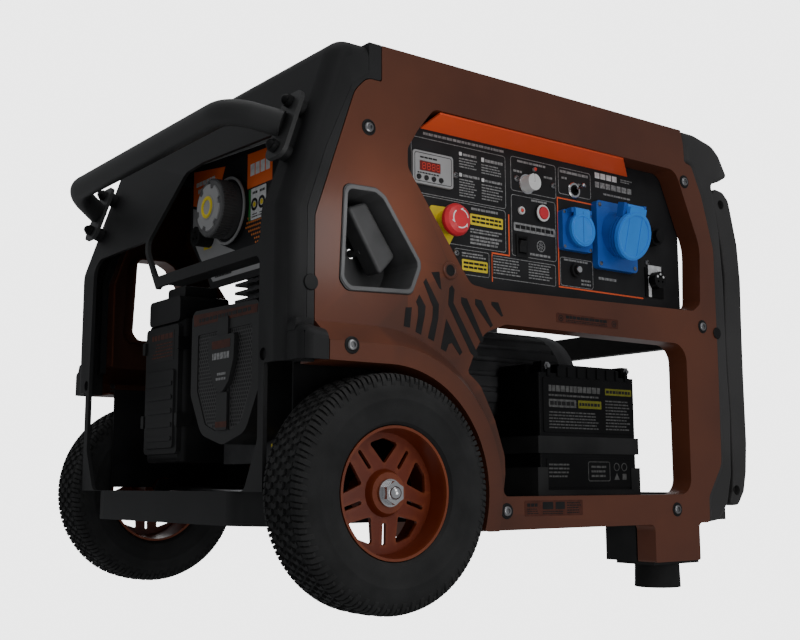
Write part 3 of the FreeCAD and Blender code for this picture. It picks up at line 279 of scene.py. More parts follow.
def plates(name, shapes, material, fn=fx_y, d0=0.0, d1=0.0, body="chassis", smooth=None):
    bm = bmesh.new()
    for s in shapes:
        prism(bm, s, fn, d0, d1)
    recalc(bm)
    return obj(name, bm, material, smooth=smooth, body=body)


def lathe(bm, prof, centre, axis="y", seg=64, closed=True, mat_i=0, a0=0.0, a1=2 * math.pi):
    """Revolve (r, h) pairs about the axis through centre (working mm)."""
    full = abs(a1 - a0 - 2 * math.pi) < 1e-6
    rows = []
    cnt = seg if full else seg + 1
    for i in range(cnt):
        t = a0 + (a1 - a0) * i / seg
        c, s = math.cos(t), math.sin(t)
        row = []
        for r, h in prof:
            if axis == "y":
                row.append(bm.verts.new(W(centre[0] + r * c, centre[1] + h, centre[2] + r * s)))
            elif axis == "x":
                row.append(bm.verts.new(W(centre[0] + h, centre[1] + r * c, centre[2] + r * s)))
            else:
                row.append(bm.verts.new(W(centre[0] + r * c, centre[1] + r * s, centre[2] + h)))
        rows.append(row)
    m = len(prof)
    for i in range(cnt if full else cnt - 1):
        A, B = rows[i], rows[(i + 1) % cnt]
        for j in range(m if closed else m - 1):
            k = (j + 1) % m
            try:
                f = bm.faces.new((A[j], A[k], B[k], B[j]))
                f.material_index = mat_i
            except ValueError:
                pass
    return rows


# ---------------------------------------------------------------- tyres
def tyre(name, yc, side, body, node):
    """Pneumatic tyre: carcass with moulded side rings and two staggered rows of zig-zag tread blocks."""
    bm = bmesh.new()
    h = 36.0
    prof = [(73, -h + 5), (76, -h + 1), (82, -h - 1.2), (90, -h - 2.3), (98, -h - 2.1), (99, -h - 2.45), (101, -h - 2.45), (102, -h - 2.0), (108, -h - 1.9), (114, -h - 0.6),
            (119, -h + 1.2), (122.5, -h + 3.5), (125, -h + 7), (126.2, -h + 12), (126.6, -12), (126.6, 0)]
    prof = prof + [(r, -y) for r, y in prof[-2::-1]]
    lathe(bm, prof, (0, yc, 130), seg=144)
    bmesh.ops.remove_doubles(bm, verts=bm.verts[:], dist=1e-6)
    # tread blocks
    pitch = 60
    z0 = 130

    def P(t, y, r):
        return W(r * math.cos(t), yc + y, z0 + r * math.sin(t))

    def block(pts, r0, r1, dr=0.0):
        A = [bm.verts.new(P(t, y, r0 - dr * abs(y) / 36)) for t, y in pts]
        B = []
        ct = sum(p[0] for p in pts) / len(pts)
        cy = sum(p[1] for p in pts) / len(pts)
        for t, y in pts:
            B.append(bm.verts.new(P(ct + (t - ct) * 0.88, cy + (y - cy) * 0.9, r1 - dr * abs(y) / 36)))
        n = len(pts)
        bm.faces.new(B)
        for i in range(n):
            j = (i + 1) % n
            bm.faces.new((A[i], A[j], B[j], B[i]))

    d = 2 * math.pi / pitch
    for i in range(pitch):
        t = i * d
        for s in (-1, 1):
            o = 0.0 if s < 0 else 0.5 * d
            # centre zig-zag block
            block([(t + o + 0.05 * d, s * 1.6), (t + o + 0.50 * d, s * 1.6), (t + o + 0.72 * d, s * 6.5), (t + o + 0.55 * d, s * 11.5), (t + o + 0.10 * d, s * 11.5), (t + o + 0.30 * d, s * 6.5)][::1], 126.0, 129.8)
            # middle hook-shaped block
            block([(t + o + 0.62 * d, s * 12.6), (t + o + 1.06 * d, s * 12.6), (t + o + 1.22 * d, s * 18), (t + o + 1.02 * d, s * 23), (t + o + 0.58 * d, s * 23), (t + o + 0.80 * d, s * 18)], 125.6, 129.3)
            # shoulder block that wraps over the edge
            a = t + o
            ys = [24.4, 31.0, 34.6, 36.3]
            rs = [129.0, 127.2, 122.8, 116.5]
            rb = [125.6, 124.0, 119.8, 114.5]
            for k, (t0, t1) in enumerate(((0.06, 0.50), (0.58, 0.94))):
                rows = []
                rr = len(ys) if k == 0 else 3
                for q in range(rr):
                    sh = 0.10 * d * q
                    rows.append([bm.verts.new(P(a + t0 * d + sh, s * ys[q], rb[q])), bm.verts.new(P(a + (t0 + 0.04) * d + sh, s * (ys[q] + 0.5), rs[q])),
                                 bm.verts.new(P(a + (t1 - 0.04) * d + sh, s * (ys[q] + 0.5), rs[q])), bm.verts.new(P(a + t1 * d + sh, s * ys[q], rb[q]))])
                for q in range(rr - 1):
                    for c in range(3):
                        bm.faces.new((rows[q][c], rows[q][c + 1], rows[q + 1][c + 1], rows[q + 1][c]))
                bm.faces.new(rows[0])
                bm.faces.new(rows[-1][::-1])
    recalc(bm)
    o = obj(name, bm, M["tyre"], smooth=32, body=body)
    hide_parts(node)
    return o


tyre("tyre_tread_front", 32, -1, "wheel_front", "tyre_front")
tyre("tyre_tread_back", 618, 1, "wheel_back", "tyre_back")

# ---------------------------------------------------------------- more shapes and helpers
# painted light: a lighter copy of the black moulding, brightened to stand for the lit side of the rear guards; also
# used on the rear end cap and the recoil grille skin
M["guard"] = mat("m_black_moulding_painted_lit", (0.042, 0.0405, 0.040), rough=0.55, spec=0.3, vary=0.12, vscale=9, grain=0.35, gscale=1400, wear=0.3, wear_col=(0.07, 0.07, 0.07))
M["pocketgrey"] = mat("m_pocket_moulding", (0.055, 0.055, 0.056), rough=0.5, spec=0.25, vary=0.12, vscale=30, grain=0.3, gscale=1200)
M["recoilgrey"] = mat("m_recoil_moulding", (0.026, 0.026, 0.026), rough=0.5, spec=0.2, vary=0.12, vscale=14, grain=0.3, gscale=1200)
M["knobgrey"] = mat("m_knob_moulding", (0.11, 0.11, 0.11), rough=0.45, spec=0.3, vary=0.1, vscale=40, grain=0.3, gscale=1400)
for n_, k_ in (("rear_guards", "guard"), ("end_cap_rear", "guard"), ("starter_pocket", "pocketgrey"), ("starter_grip", "pocketgrey"), ("engine_selector", "knobgrey"), ("recoil_cover", "recoilgrey")):
    if n_ in N:
        N[n_].data.materials.clear()
        N[n_].data.materials.append(M[k_])
M["plug"] = mat("m_plug_black", (0.007, 0.007, 0.0072), rough=0.5, spec=0.2, vary=0.1, vscale=60)
M["inkdim"] = mat("m_dim_print", (0.085, 0.085, 0.083), rough=0.55, spec=0.2, vary=0.3, vscale=200)
M["bezel"] = mat("m_bezel_grey", (0.095, 0.095, 0.097), rough=0.45, spec=0.3, vary=0.1, vscale=30, grain=0.2)
M["green"] = mat("m_green_print", (0.03, 0.22, 0.05), rough=0.45, spec=0.3, vary=0.08, vscale=60)
M["inklight"] = mat("m_white_print", (0.72, 0.72, 0.72), rough=0.5, spec=0.3, vary=0.15, vscale=120)
M["dull"] = mat("m_dull_orange_print", (0.075, 0.022, 0.013), rough=0.55, spec=0.2, vary=0.2, vscale=80)
M["olive"] = mat("m_olive_print", (0.155, 0.15, 0.012), rough=0.55, spec=0.2, vary=0.15, vscale=80)
M["ledred"] = mat("m_led_red", (0.75, 0.05, 0.03), rough=0.25, spec=0.5, vary=0.05, vscale=200)
M["hexorange"] = mat("m_hex_orange", (0.95, 0.25, 0.04), rough=0.5, spec=0.3, vary=0.1, vscale=80)
M["tagorange"] = mat("m_tag_orange", (0.95, 0.15, 0.02), rough=0.45, spec=0.3, vary=0.06, vscale=30)


def outline(bm, x0, z0, x1, z1, w, fn, d0, d1, r=0.0):
    """Thin printed frame as four bars."""
    for q in (rect(x0 + r, z1 - w, x1 - r, z1), rect(x0 + r, z0, x1 - r, z0 + w), rect(x0, z0 + r, x0 + w, z1 - r), rect(x1 - w, z0 + r, x1, z1 - r)):
        prism(bm, q, fn, d0, d1)
    if r > 0:
        for cx, cz, s in ((x1 - r, z0 + r, -90), (x1 - r, z1 - r, 0), (x0 + r, z1 - r, 90), (x0 + r, z0 + r, 180)):
            a = [(cx + r * math.cos(math.radians(s + 30 * i)), cz + r * math.sin(math.radians(s + 30 * i))) for i in range(4)]
            b = [(cx + (r - w) * math.cos(math.radians(s + 30 * i)), cz + (r - w) * math.sin(math.radians(s + 30 * i))) for i in range(3, -1, -1)]
            prism(bm, a + b, fn, d0, d1)


def rows(bm, x0, z0, x1, z1, n, fn, d0, d1, fill=0.55, rnd=None, lo=2.0, hi=7.0, gap=1.0, ragged=True):
    """Rows of short dashes that stand for printed lines without any lettering."""
    rnd = rnd or RND
    p = (z1 - z0) / n
    for i in range(n):
        zc = z1 - (i + 0.5) * p
        x = x0
        xe = x1 - (rnd.uniform(0, 0.22) * (x1 - x0) if ragged else 0)
        while x < xe - lo * 0.5:
            w = min(rnd.uniform(lo, hi), xe - x)
            prism(bm, rect(x, zc - p * fill / 2, x + w, zc + p * fill / 2), fn, d0, d1)
            x += w + gap


def round_poly(pts, n=6):
    """Polygon with a fillet of its own at each corner, from (a, b, radius) triples."""
    out = []
    m = len(pts)
    for i in range(m):
        p0, p1, p2 = Vector(pts[i - 1][:2]), Vector(pts[i][:2]), Vector(pts[(i + 1) % m][:2])
        r = pts[i][2]
        u, v = (p0 - p1).normalized(), (p2 - p1).normalized()
        ang = u.angle(v)
        t = min(r / math.tan(ang / 2), 0.49 * (p0 - p1).length, 0.49 * (p2 - p1).length)
        a, b = p1 + u * t, p1 + v * t
        for k in range(n + 1):
            s = k / n
            q = a * (1 - s) ** 2 + p1 * 2 * s * (1 - s) + b * s ** 2
            out.append((q.x, q.y))
    return out


def band(bm, outer, inner, fn, d0, d1):
    """Flat ring between two outlines that have the same number of points."""
    n = len(outer)
    vo0 = [bm.verts.new(fn(a, b, d0)) for a, b in outer]
    vo1 = [bm.verts.new(fn(a, b, d1)) for a, b in outer]
    vi0 = [bm.verts.new(fn(a, b, d0)) for a, b in inner]
    vi1 = [bm.verts.new(fn(a, b, d1)) for a, b in inner]
    for i in range(n):
        j = (i + 1) % n
        bm.faces.new((vo1[i], vo1[j], vi1[j], vi1[i]))
        bm.faces.new((vo0[j], vo0[i], vi0[i], vi0[j]))
        bm.faces.new((vo0[i], vo0[j], vo1[j], vo1[i]))
        bm.faces.new((vi1[i], vi1[j], vi0[j], vi0[i]))


def grow(pts, d):
    """Outline moved outward by d along its vertex normals."""
    n = len(pts)
    area2 = sum(pts[i][0] * pts[(i + 1) % n][1] - pts[(i + 1) % n][0] * pts[i][1] for i in range(n))
    s = 1 if area2 > 0 else -1
    out = []
    for i in range(n):
        t = Vector((pts[(i + 1) % n][0] - pts[i - 1][0], pts[(i + 1) % n][1] - pts[i - 1][1])).normalized()
        out.append((pts[i][0] + s * t.y * d, pts[i][1] - s * t.x * d))
    return out


def done(name, bm, material, smooth=None, body="chassis"):
    recalc(bm)
    return obj(name, bm, material, smooth=smooth, body=body)


# ---------------------------------------------------------------- fasteners
bs, bd, bp = bmesh.new(), bmesh.new(), bmesh.new()
for x, z, yy in ((-10, 542, 38), (547, 568, 38), (193, 107, 38), (505, 104, 38), (575, 360, 38), (-53, 286, 8)):
    for s, y in ((-1, yy), (1, 650 - yy)):
        lathe(bd, [(6.4, 0.4 * -s), (9.6, 0.4 * -s), (9.4, s * 0.5), (8.6, s * 1.0), (6.4, s * 1.0)], (x, y, z), seg=32)
        lathe(bs, [(0.01, 0), (6.3, 0), (6.3, s * 0.8), (5.8, s * 2.0), (4.6, s * 2.9), (3.2, s * 2.95), (3.0, s * 1.1), (0.01, s * 1.1)], (x, y, z), seg=30)
for x, z, r in ((-86.5, 355, 9.0), (607, 353, 8.2)):
    for s, y in ((-1, 38), (1, 612)):
        lathe(bp, [(0.01, -s * 0.5), (r, -s * 0.5), (r, s * 0.9), (r - 0.7, s * 1.5), (0.01, s * 1.5)], (x, y, z), seg=36)
o = done("bolt_heads", bs, M["steel"], 35)
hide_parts("body_bolts")
done("bolt_seats", bd, M["plug"], 35)
done("seam_plugs", bp, M["plug"], 35)
src = N["body_bolts"].data
hb = bmesh.new()
hb.from_mesh(src)
kill = [f for f in hb.faces if f.calc_center_median().x > (-0.095 + SX) or f.calc_center_median().z < 0.47]
bmesh.ops.delete(hb, geom=kill, context="FACES")
me_h = bpy.data.meshes.new("handle_bolts")
hb.to_mesh(me_h)
hb.free()
ho = bpy.data.objects.new("handle_bolts", me_h)
bpy.context.scene.collection.objects.link(ho)
me_h.materials.append(M["blackpaint"])
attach(ho, "chassis")

# panel screws with a cross slot
ps, pd = bmesh.new(), bmesh.new()
for x, z in ((146.5, 519), (250, 532), (317, 532.5), (146.5, 420.5), (500.5, 449.5)):
    lathe(ps, [(0.01, 0), (4.2, 0), (4.2, -0.9), (3.4, -2.0), (1.6, -2.5), (0.01, -2.6)], (x, 71.9, z), seg=24)
    for a in (0.5, 0.5 + math.pi / 2):
        ca, sa = math.cos(a), math.sin(a)
        q = [(x + ca * u - sa * v, z + sa * u + ca * v) for u, v in ((-2.6, -0.45), (2.6, -0.45), (2.6, 0.45), (-2.6, 0.45))]
        prism(pd, q, fx_y, 70.0, 69.2)
done("panel_screws", ps, M["steel"], 35)
done("panel_screw_slots", pd, M["plug"])

# ---------------------------------------------------------------- decoration of the side panels
CHEV = [[(42, 339), (51, 340), (48, 316), (39, 317)],
        [(62, 356), (71, 343), (70, 333), (64, 309), (56, 312), (60, 331), (60, 341), (57, 347)],
        [(72, 376), (91, 347), (90, 331), (83, 303), (74, 306), (81, 330), (82, 343), (68, 371)],
        [(80, 384), (92, 386), (95, 365), (92, 366)],
        [(111, 372), (115, 367), (113, 351), (150, 293), (148, 287), (139, 293), (105, 348), (107, 368)],
        [(102, 331), (126, 293), (122, 289), (110, 303), (105, 301), (101, 292), (93, 295)],
        [(125, 359), (134, 358), (160, 311), (156, 305), (125, 352)],
        [(147, 359), (157, 358), (175, 329), (171, 326), (147, 352)],
        [(173, 358), (184, 358), (192, 342), (189, 341), (173, 354)]]
for nm, y0, y1 in (("front", 38.2, 37.75), ("back", 611.8, 612.25)):
    plates("side_stripes_" + nm, CHEV, M["inkdark"], d0=y0, d1=y1)
    s = -1 if nm == "front" else 1
    plates("side_label_mid_" + nm, [rect(283, 342, 398, 354.5, 2)], M["dull"], d0=y0, d1=y1)
    plates("side_label_low_" + nm, [rect(222, 100, 322, 119, 1.5)], M["dull"], d0=y0, d1=y1)
    b = bmesh.new()
    e0, e1 = y1 + s * -0.1, y1 + s * 0.12
    rows(b, 300, 347.5, 380, 353, 1, fx_y, e0, e1, 0.7, random.Random(3), 3, 8)
    rows(b, 300, 343.2, 380, 347.2, 2, fx_y, e0, e1, 0.5, random.Random(4), 2, 5)
    for c in (291, 389.5):
        band(b, disc(c, 348, 4.2, 24), disc(c, 348, 3.2, 24), fx_y, e0, e1)
        prism(b, disc(c, 348, 1.6, 12), fx_y, e0, e1)
    rows(b, 226, 111, 246, 116, 1, fx_y, e0, e1, 0.8, random.Random(5), 3, 6)
    rows(b, 226, 102, 246, 110, 3, fx_y, e0, e1, 0.4, random.Random(6), 2, 5)
    prism(b, rect(252, 108, 270, 117, 1), fx_y, e0, e1)
    prism(b, rect(274, 108, 290, 117, 1), fx_y, e0, e1)
    rows(b, 252, 101.5, 290, 106.5, 2, fx_y, e0, e1, 0.5, random.Random(8), 2, 5)
    rows(b, 294, 102, 319, 117, 5, fx_y, e0, e1, 0.5, random.Random(9), 2, 5)
    done("side_label_print_" + nm, b, M["inkdark"])

# dark boss below the upper window and the bezel of the grip pocket
b = bmesh.new()
lathe(b, [(0.01, 0.6), (10.5, 0.6), (10.5, -1.2), (9.6, -2.2), (7.6, -2.3), (6.4, -1.2), (0.01, -1.2)], (108, 38, 389), seg=40)
done("window_boss_cap", b, M["panel"], 35)
b = bmesh.new()
lathe(b, [(0.01, 0.0), (6.6, 0.0), (6.6, -1.5), (0.01, -1.5)], (108, 38, 389), seg=32)
done("window_boss_hole", b, M["plug"], 35)
pin = round_poly([(-39, 466, 8), (-2, 467, 10), (9, 461, 8), (58, 393, 8), (58, 387, 6), (47, 360, 8), (-36, 356, 10), (-44, 365, 8)])
b = bmesh.new()
band(b, grow(pin, 4.6), grow(pin, 0.4), fx_y, 37.6, 35.9)
done("pocket_bezel", b, M["bezel"], 35)

# ---------------------------------------------------------------- control panel print
g, w, y_, k, og = bmesh.new(), bmesh.new(), bmesh.new(), bmesh.new(), bmesh.new()
F, D0, D1, D2 = fx_y, 72.05, 71.82, 71.70
R = random.Random(21)
outline(g, 77, 488, 231, 558, 0.8, F, D0, D1, 4)
outline(g, 79, 431, 230, 486, 0.8, F, D0, D1, 4)
outline(g, 144, 395, 201, 427, 0.8, F, D0, D1, 3)
outline(g, 205.5, 396, 318, 425, 0.8, F, D0, D1, 3)
outline(g, 240, 515, 322, 561, 0.8, F, D0, D1, 4)
outline(g, 240, 429, 320, 510, 0.8, F, D0, D1, 4)
outline(g, 326.5, 524, 389, 561, 0.8, F, D0, D1, 4)
outline(g, 326.5, 399, 389, 438, 0.8, F, D0, D1, 4)
rows(g, 96, 561.5, 236, 566, 1, F, D0, D1, 0.7, R, 3, 9, 1.2)
for x0, x1, z0, z1 in ((153, 187, 546, 550), (190, 228, 544, 549), (153, 187, 519, 523), (190, 228, 518, 522)):
    prism(w, rect(x0, z0, x0 + 4.5, z1 + 0.6, 0.8), F, D0, D1)
    rows(g, x0 + 6, z0, x1, z1, 1, F, D0, D1, 0.75, R, 4, 9, 0.9)
for x0, x1, z0, z1, n in ((153, 184, 530, 544, 4), (190, 226, 528, 542, 4), (153, 183, 493, 517, 7), (190, 226, 494, 516, 6)):
    rows(g, x0, z0, x1, z1, n, F, D0, D1, 0.42, R, 2.5, 8, 0.9)
prism(y_, rect(170, 460, 225, 474, 1.5), F, D0, D1)
rows(k, 173, 462, 223, 472.5, 2, F, D0, D2, 0.55, R, 4, 9, 1.0, False)
rows(g, 170, 449, 224, 456, 2, F, D0, D1, 0.55, R, 3, 9)
rows(g, 170, 434.5, 224, 447.5, 3, F, D0, D1, 0.6, R, 4, 10)
rows(g, 172, 478, 224, 483, 1, F, D0, D1, 0.6, R, 4, 10)
prism(y_, rect(156, 400.5, 198, 414.5, 1.5), F, D0, D1)
rows(k, 158.5, 402.5, 196, 413, 2, F, D0, D2, 0.55, R, 4, 9, 1.0, False)
rows(g, 156, 417, 198, 424, 2, F, D0, D1, 0.5, R, 3, 8)
rows(g, 208, 401, 256, 423, 6, F, D0, D1, 0.42, R, 3, 8)
rows(g, 269, 401, 314, 423, 6, F, D0, D1, 0.42, R, 3, 8)
rows(g, 252, 554, 312, 558, 1, F, D0, D1, 0.7, R, 5, 12)
rows(g, 245, 540, 262, 544, 1, F, D0, D1, 0.7, R, 3, 6)
rows(g, 300, 540, 318, 544, 1, F, D0, D1, 0.7, R, 3, 6)
rows(g, 276, 505, 310, 508.5, 1, F, D0, D1, 0.7, R, 5, 12)
prism(g, rect(244, 462.5, 318, 473.5, 1.5), F, D0, D1)
rows(k, 247, 465.5, 315, 471, 1, F, D0, D2, 0.9, R, 4, 9, 1.2, False)
band(g, disc(292, 447, 7.5, 28), disc(292, 447, 6.6, 28), F, D0, D1)
for a in range(0, 360, 45):
    ca, sa = math.cos(math.radians(a)), math.sin(math.radians(a))
    prism(g, [(292 + ca * 1.5 - sa * 0.5, 447 + sa * 1.5 + ca * 0.5), (292 + ca * 6.7 - sa * 0.4, 447 + sa * 6.7 + ca * 0.4), (292 + ca * 6.7 + sa * 0.4, 447 + sa * 6.7 - ca * 0.4), (292 + ca * 1.5 + sa * 0.5, 447 + sa * 1.5 - ca * 0.5)], F, D0, D1)
rows(g, 272, 432, 316, 437, 1, F, D0, D1, 0.6, R, 3, 8)
rows(g, 330, 553, 386, 558, 1, F, D0, D1, 0.7, R, 5, 12)
rows(g, 333, 545, 344, 549, 1, F, D0, D1, 0.7, R, 3, 6)
rows(g, 364, 540, 384, 544, 1, F, D0, D1, 0.7, R, 3, 6)
rows(g, 366, 402, 386, 412, 2, F, D0, D1, 0.5, R, 3, 6)
rows(g, 334, 433, 380, 436.5, 1, F, D0, D1, 0.7, R, 3, 8)
# the rating block on the right is kept as plain bars
rows(w, 398, 556, 446, 566, 1, F, D0, D1, 0.8, R, 6, 11, 2.0, False)
rows(g, 398, 543, 472, 553, 1, F, D0, D1, 0.8, R, 7, 12, 2.0, False)
rows(g, 450, 558, 474, 564, 2, F, D0, D1, 0.5, R, 3, 7)
rows(g, 414, 534, 470, 539, 1, F, D0, D1, 0.5, R, 3, 8)
rows(g, 400, 414, 440, 419, 1, F, D0, D1, 0.7, R, 4, 9)
for q in (rect(234.5, 429, 236.3, 482), rect(205, 427, 236.3, 428.8), rect(205, 391, 206.6, 428), rect(323.2, 399, 325, 517), rect(323.2, 517, 390, 518.8), rect(323.2, 396, 490, 398)):
    prism(og, q, F, D0, D1)
done("panel_print_grey", g, M["ink"])
done("panel_print_white", w, M["inklight"])
done("panel_tags_yellow", y_, M["yellow"])
done("panel_tags_print", k, M["inkdark"])
done("panel_lines_orange", og, M["orangeline"])
# display: lens, digits and lamps
plates("display_lens", [rect(87.4, 515.4, 119.6, 527.6, 1)], M["lcd"], d0=68.15, d1=67.95)
b = bmesh.new()
for i in range(4):
    cx = 92 + 7.4 * i
    for q in (rect(cx, 525.0, cx + 4, 525.8), rect(cx, 521.2, cx + 4, 522.0), rect(cx, 517.3, cx + 4, 518.1), rect(cx - 0.6, 522.2, cx + 0.1, 525.0), rect(cx + 3.9, 522.2, cx + 4.6, 525.0), rect(cx - 0.6, 518.1, cx + 0.1, 521.2), rect(cx + 3.9, 518.1, cx + 4.6, 521.2)):
        prism(b, q, fx_y, 67.98, 67.85)
done("display_digits", b, M["ledred"])
b = bmesh.new()
outline(b, 79.5, 501.5, 137.5, 537.5, 0.7, fx_y, 68.1, 67.8, 3)
rows(b, 88, 530.5, 118, 533.5, 1, fx_y, 68.1, 67.85, 0.7, R, 3, 7)
rows(b, 84, 511.4, 124, 513.6, 1, fx_y, 68.1, 67.85, 0.8, R, 2, 4)
done("display_print", b, M["inkdark"])
b = bmesh.new()
lathe(b, [(0.01, 0), (2.4, 0), (2.2, -0.8), (1.3, -1.5), (0.01, -1.7)], (282, 69.05, 549), seg=20)
lathe(b, [(0.01, 0), (2.4, 0), (2.2, -0.6), (1.3, -1.2), (0.01, -1.4)], (257, 69.05, 490), seg=20)
done("lamps_red", b, M["ledred"], 40)
# rings, tips and dots of the controls
b = bmesh.new()
lathe(b, [(8.5, 0), (11.2, 0), (11.2, -1.0), (10.4, -1.7), (8.9, -1.7), (8.5, -1.0)], (293, 68.1, 491), seg=36)
lathe(b, [(3.3, 0), (5.2, 0), (5.2, -2.6), (4.6, -3.2), (3.6, -3.2), (3.3, -2.0)], (257, 71.95, 490), seg=30)
done("control_rings_white", b, M["white"], 35)
b = bmesh.new()
lathe(b, [(0.01, 0), (4.6, 0), (4.2, -0.8), (0.01, -1.0)], (354, 63.05, 422), seg=28)
done("breaker_face", b, M["chrome"], 35, "breaker")
b = bmesh.new()
lathe(b, [(7.0, 0), (11.4, 0), (11.2, -2.0), (10.0, -3.0), (7.4, -3.0)], (355, 71.95, 532), seg=32)
lathe(b, [(11.2, 0), (13.6, 0), (13.2, -0.9), (11.2, -1.2)], (268, 71.95, 527), seg=36)
done("control_washers", b, M["chrome"], 35)
# stop button: turning arrows and the collar line
b = bmesh.new()
for i in range(3):
    a0 = math.radians(120 * i + 10)
    arc_o = [(129 + 12.2 * math.cos(a0 + math.radians(8 * j)), 456 + 12.2 * math.sin(a0 + math.radians(8 * j))) for j in range(9)]
    arc_i = [(129 + 10.4 * math.cos(a0 + math.radians(8 * j)), 456 + 10.4 * math.sin(a0 + math.radians(8 * j))) for j in range(8, -1, -1)]
    prism(b, arc_o + arc_i, fx_y, 41.6, 40.9)
    e = a0 + math.radians(64)
    tip = a0 + math.radians(84)
    prism(b, [(129 + 14.2 * math.cos(e), 456 + 14.2 * math.sin(e)), (129 + 11.3 * math.cos(tip), 456 + 11.3 * math.sin(tip)), (129 + 8.4 * math.cos(e), 456 + 8.4 * math.sin(e))], fx_y, 41.6, 40.9)
done("stop_button_arrows", b, M["white"], None, "stop_button")

b = bmesh.new()
for q in (rect(500, 432, 528, 446, 1), rect(500, 400, 506, 430, 1)):
    prism(b, q, fx_y, 69.98, 69.7)
for x in (506, 512, 518):
    prism(b, disc(x, 432 - 0.6 * abs(x - 512), 1.7, 12), fx_y, 57.9, 57.6)
done("aux_socket_marks", b, M["inklight"])

# ---------------------------------------------------------------- sockets
b = bmesh.new()
prism(b, rect(351.6, 452, 352.4, 499), fx_y, 52.1, 51.85)
done("small_lid_seam", b, M["blue"], None, "lid_small")
b = bmesh.new()
lathe(b, [(17.5, 0.3), (20.5, 0.3), (20.5, -0.5), (19.8, -1.0), (18.0, -1.0), (17.5, -0.5)], (352, 52, 474), seg=48)
done("small_lid_rim", b, M["blue_painted_lit"], 35, "lid_small")
b = bmesh.new()
for x, z in ((327.6, 450.6), (376.4, 450.6), (327.6, 497.4), (376.4, 497.4)):
    lathe(b, [(0.01, 0.3), (2.3, 0.3), (2.2, -0.7), (1.2, -1.0), (0.01, -1.0)], (x, 63, z), seg=18)
for x, z in ((395, 435), (463, 435), (395, 517), (463, 517)):
    lathe(b, [(0.01, 0.3), (3.0, 0.3), (2.9, -0.9), (1.8, -1.3), (0.01, -1.3)], (x, 62, z), seg=18)
done("socket_screws", b, M["steel"], 35)
TL = math.radians(14.0)
DL = Vector((0, -math.cos(TL), -math.sin(TL)))
UL = Vector((0, -math.sin(TL), math.cos(TL)))
XL = Vector((1, 0, 0))
B0 = Vector((429, 82, 484))


def tl(a, c, d):
    q = B0 + XL * a + UL * c + DL * d
    return W(q.x, q.y, q.z)


def tilt_ring(bm, prof, seg=64):
    rr = []
    for i in range(seg):
        t = 2 * math.pi * i / seg
        rr.append([bm.verts.new(tl(r * math.cos(t), r * math.sin(t), h)) for r, h in prof])
    m = len(prof)
    for i in range(seg):
        A, B = rr[i], rr[(i + 1) % seg]
        for j in range(m):
            kk = (j + 1) % m
            bm.faces.new((A[j], A[kk], B[kk], B[j]))


b = bmesh.new()
tilt_ring(b, [(30.8, 36.0), (32.6, 36.0), (32.6, 38.5), (30.8, 38.5)])
tilt_ring(b, [(30.8, 40.5), (32.6, 40.5), (32.6, 42.5), (30.8, 42.5)])
done("large_socket_rings", b, M["blue"], 35)
b = bmesh.new()
tilt_ring(b, [(27.5, 52.3), (31.5, 52.3), (31.5, 53.4), (30.5, 54.0), (28.5, 54.0), (27.5, 53.4)])
for q in ([(-15, -27), (-9.5, -29.5), (-9.5, 30), (-15, 30)], [(9.5, -29.5), (15, -27), (15, 30), (9.5, 30)]):
    vs0 = [b.verts.new(tl(a, c, 52.3)) for a, c in q]
    vs1 = [b.verts.new(tl(a, c, 53.2)) for a, c in q]
    b.faces.new(vs1)
    for i in range(4):
        b.faces.new((vs0[i], vs0[(i + 1) % 4], vs1[(i + 1) % 4], vs1[i]))
done("large_lid_rim", b, M["blue_painted_lit"], 35, "lid_large")

# ---------------------------------------------------------------- recoil cover at the engine end
b = bmesh.new()
for sgn in (-1, 1):
    poly = [(235 + sgn * a, z) for a, z in ((14, 325), (68, 325), (68, 255), (45, 212), (14, 202))]

    def inside(py, pz, P=poly):
        c = False
        for i in range(len(P)):
            (x1, y1), (x2, y2) = P[i - 1], P[i]
            if (y1 > pz) != (y2 > pz) and py < (x2 - x1) * (pz - y1) / (y2 - y1) + x1:
                c = not c
        return c
    r_i = 0
    zz = 205.0
    while zz < 324:
        yy = 235 - 70 + (2.6 if r_i % 2 else 0)
        while yy < 306:
            if inside(yy - 2, zz) and inside(yy + 2, zz) and inside(yy, zz - 2) and inside(yy, zz + 2):
                prism(b, disc(yy, zz, 1.9, 6, math.pi / 6), fx_x, -82.7, -82.85)
            yy += 5.2
        zz += 4.5
        r_i += 1
done("recoil_grille_holes", b, M["plug"])
b = bmesh.new()
for sgn in (-1, 1):
    prism(b, [(235 + sgn * a, z) for a, z in ((14.3, 324.7), (67.7, 324.7), (67.7, 255.2), (44.8, 212.3), (14.3, 202.3))], fx_x, -82.4, -82.72)
done("recoil_grille_skin", b, M["guard"])
b = bmesh.new()
prism(b, round_poly([(201, 319, 5), (269, 319, 5), (268, 288, 20), (256, 260, 14), (235, 244, 16), (214, 260, 14), (202, 288, 20)]), fx_x, -82, -88.0, 0, 1.5)
prism(b, rect(221, 203, 249, 250, 3), fx_x, -82, -86.2, 0, 1.0)
prism(b, rect(221, 316, 249, 341, 3), fx_x, -82, -86.0, 0, 1.0)
done("recoil_badge", b, M["recoilgrey"], 30)
b = bmesh.new()
prism(b, [(156, 337), (314, 337), (316, 352), (154, 347)], fx_x, -83.9, -84.25)
prism(b, rect(221, 207, 249, 214, 1), fx_x, -86.1, -86.35)
prism(b, rect(212, 302, 258, 312, 1), fx_x, -87.9, -88.2)
done("recoil_print_orange", b, M["dull"])
b = bmesh.new()
rows(b, 214, 288, 256, 298, 1, fx_x, -87.9, -88.25, 0.8, random.Random(11), 4, 8, 1.5, False)
rows(b, 222, 262, 248, 274, 2, fx_x, -87.9, -88.25, 0.5, random.Random(12), 3, 7)
done("recoil_print_grey", b, M["ink"])
b = bmesh.new()
rows(b, 170, 340.5, 300, 345.5, 1, fx_x, -84.1, -84.4, 0.9, random.Random(13), 6, 12, 2.0, False)
done("recoil_print_dark", b, M["inkdark"])

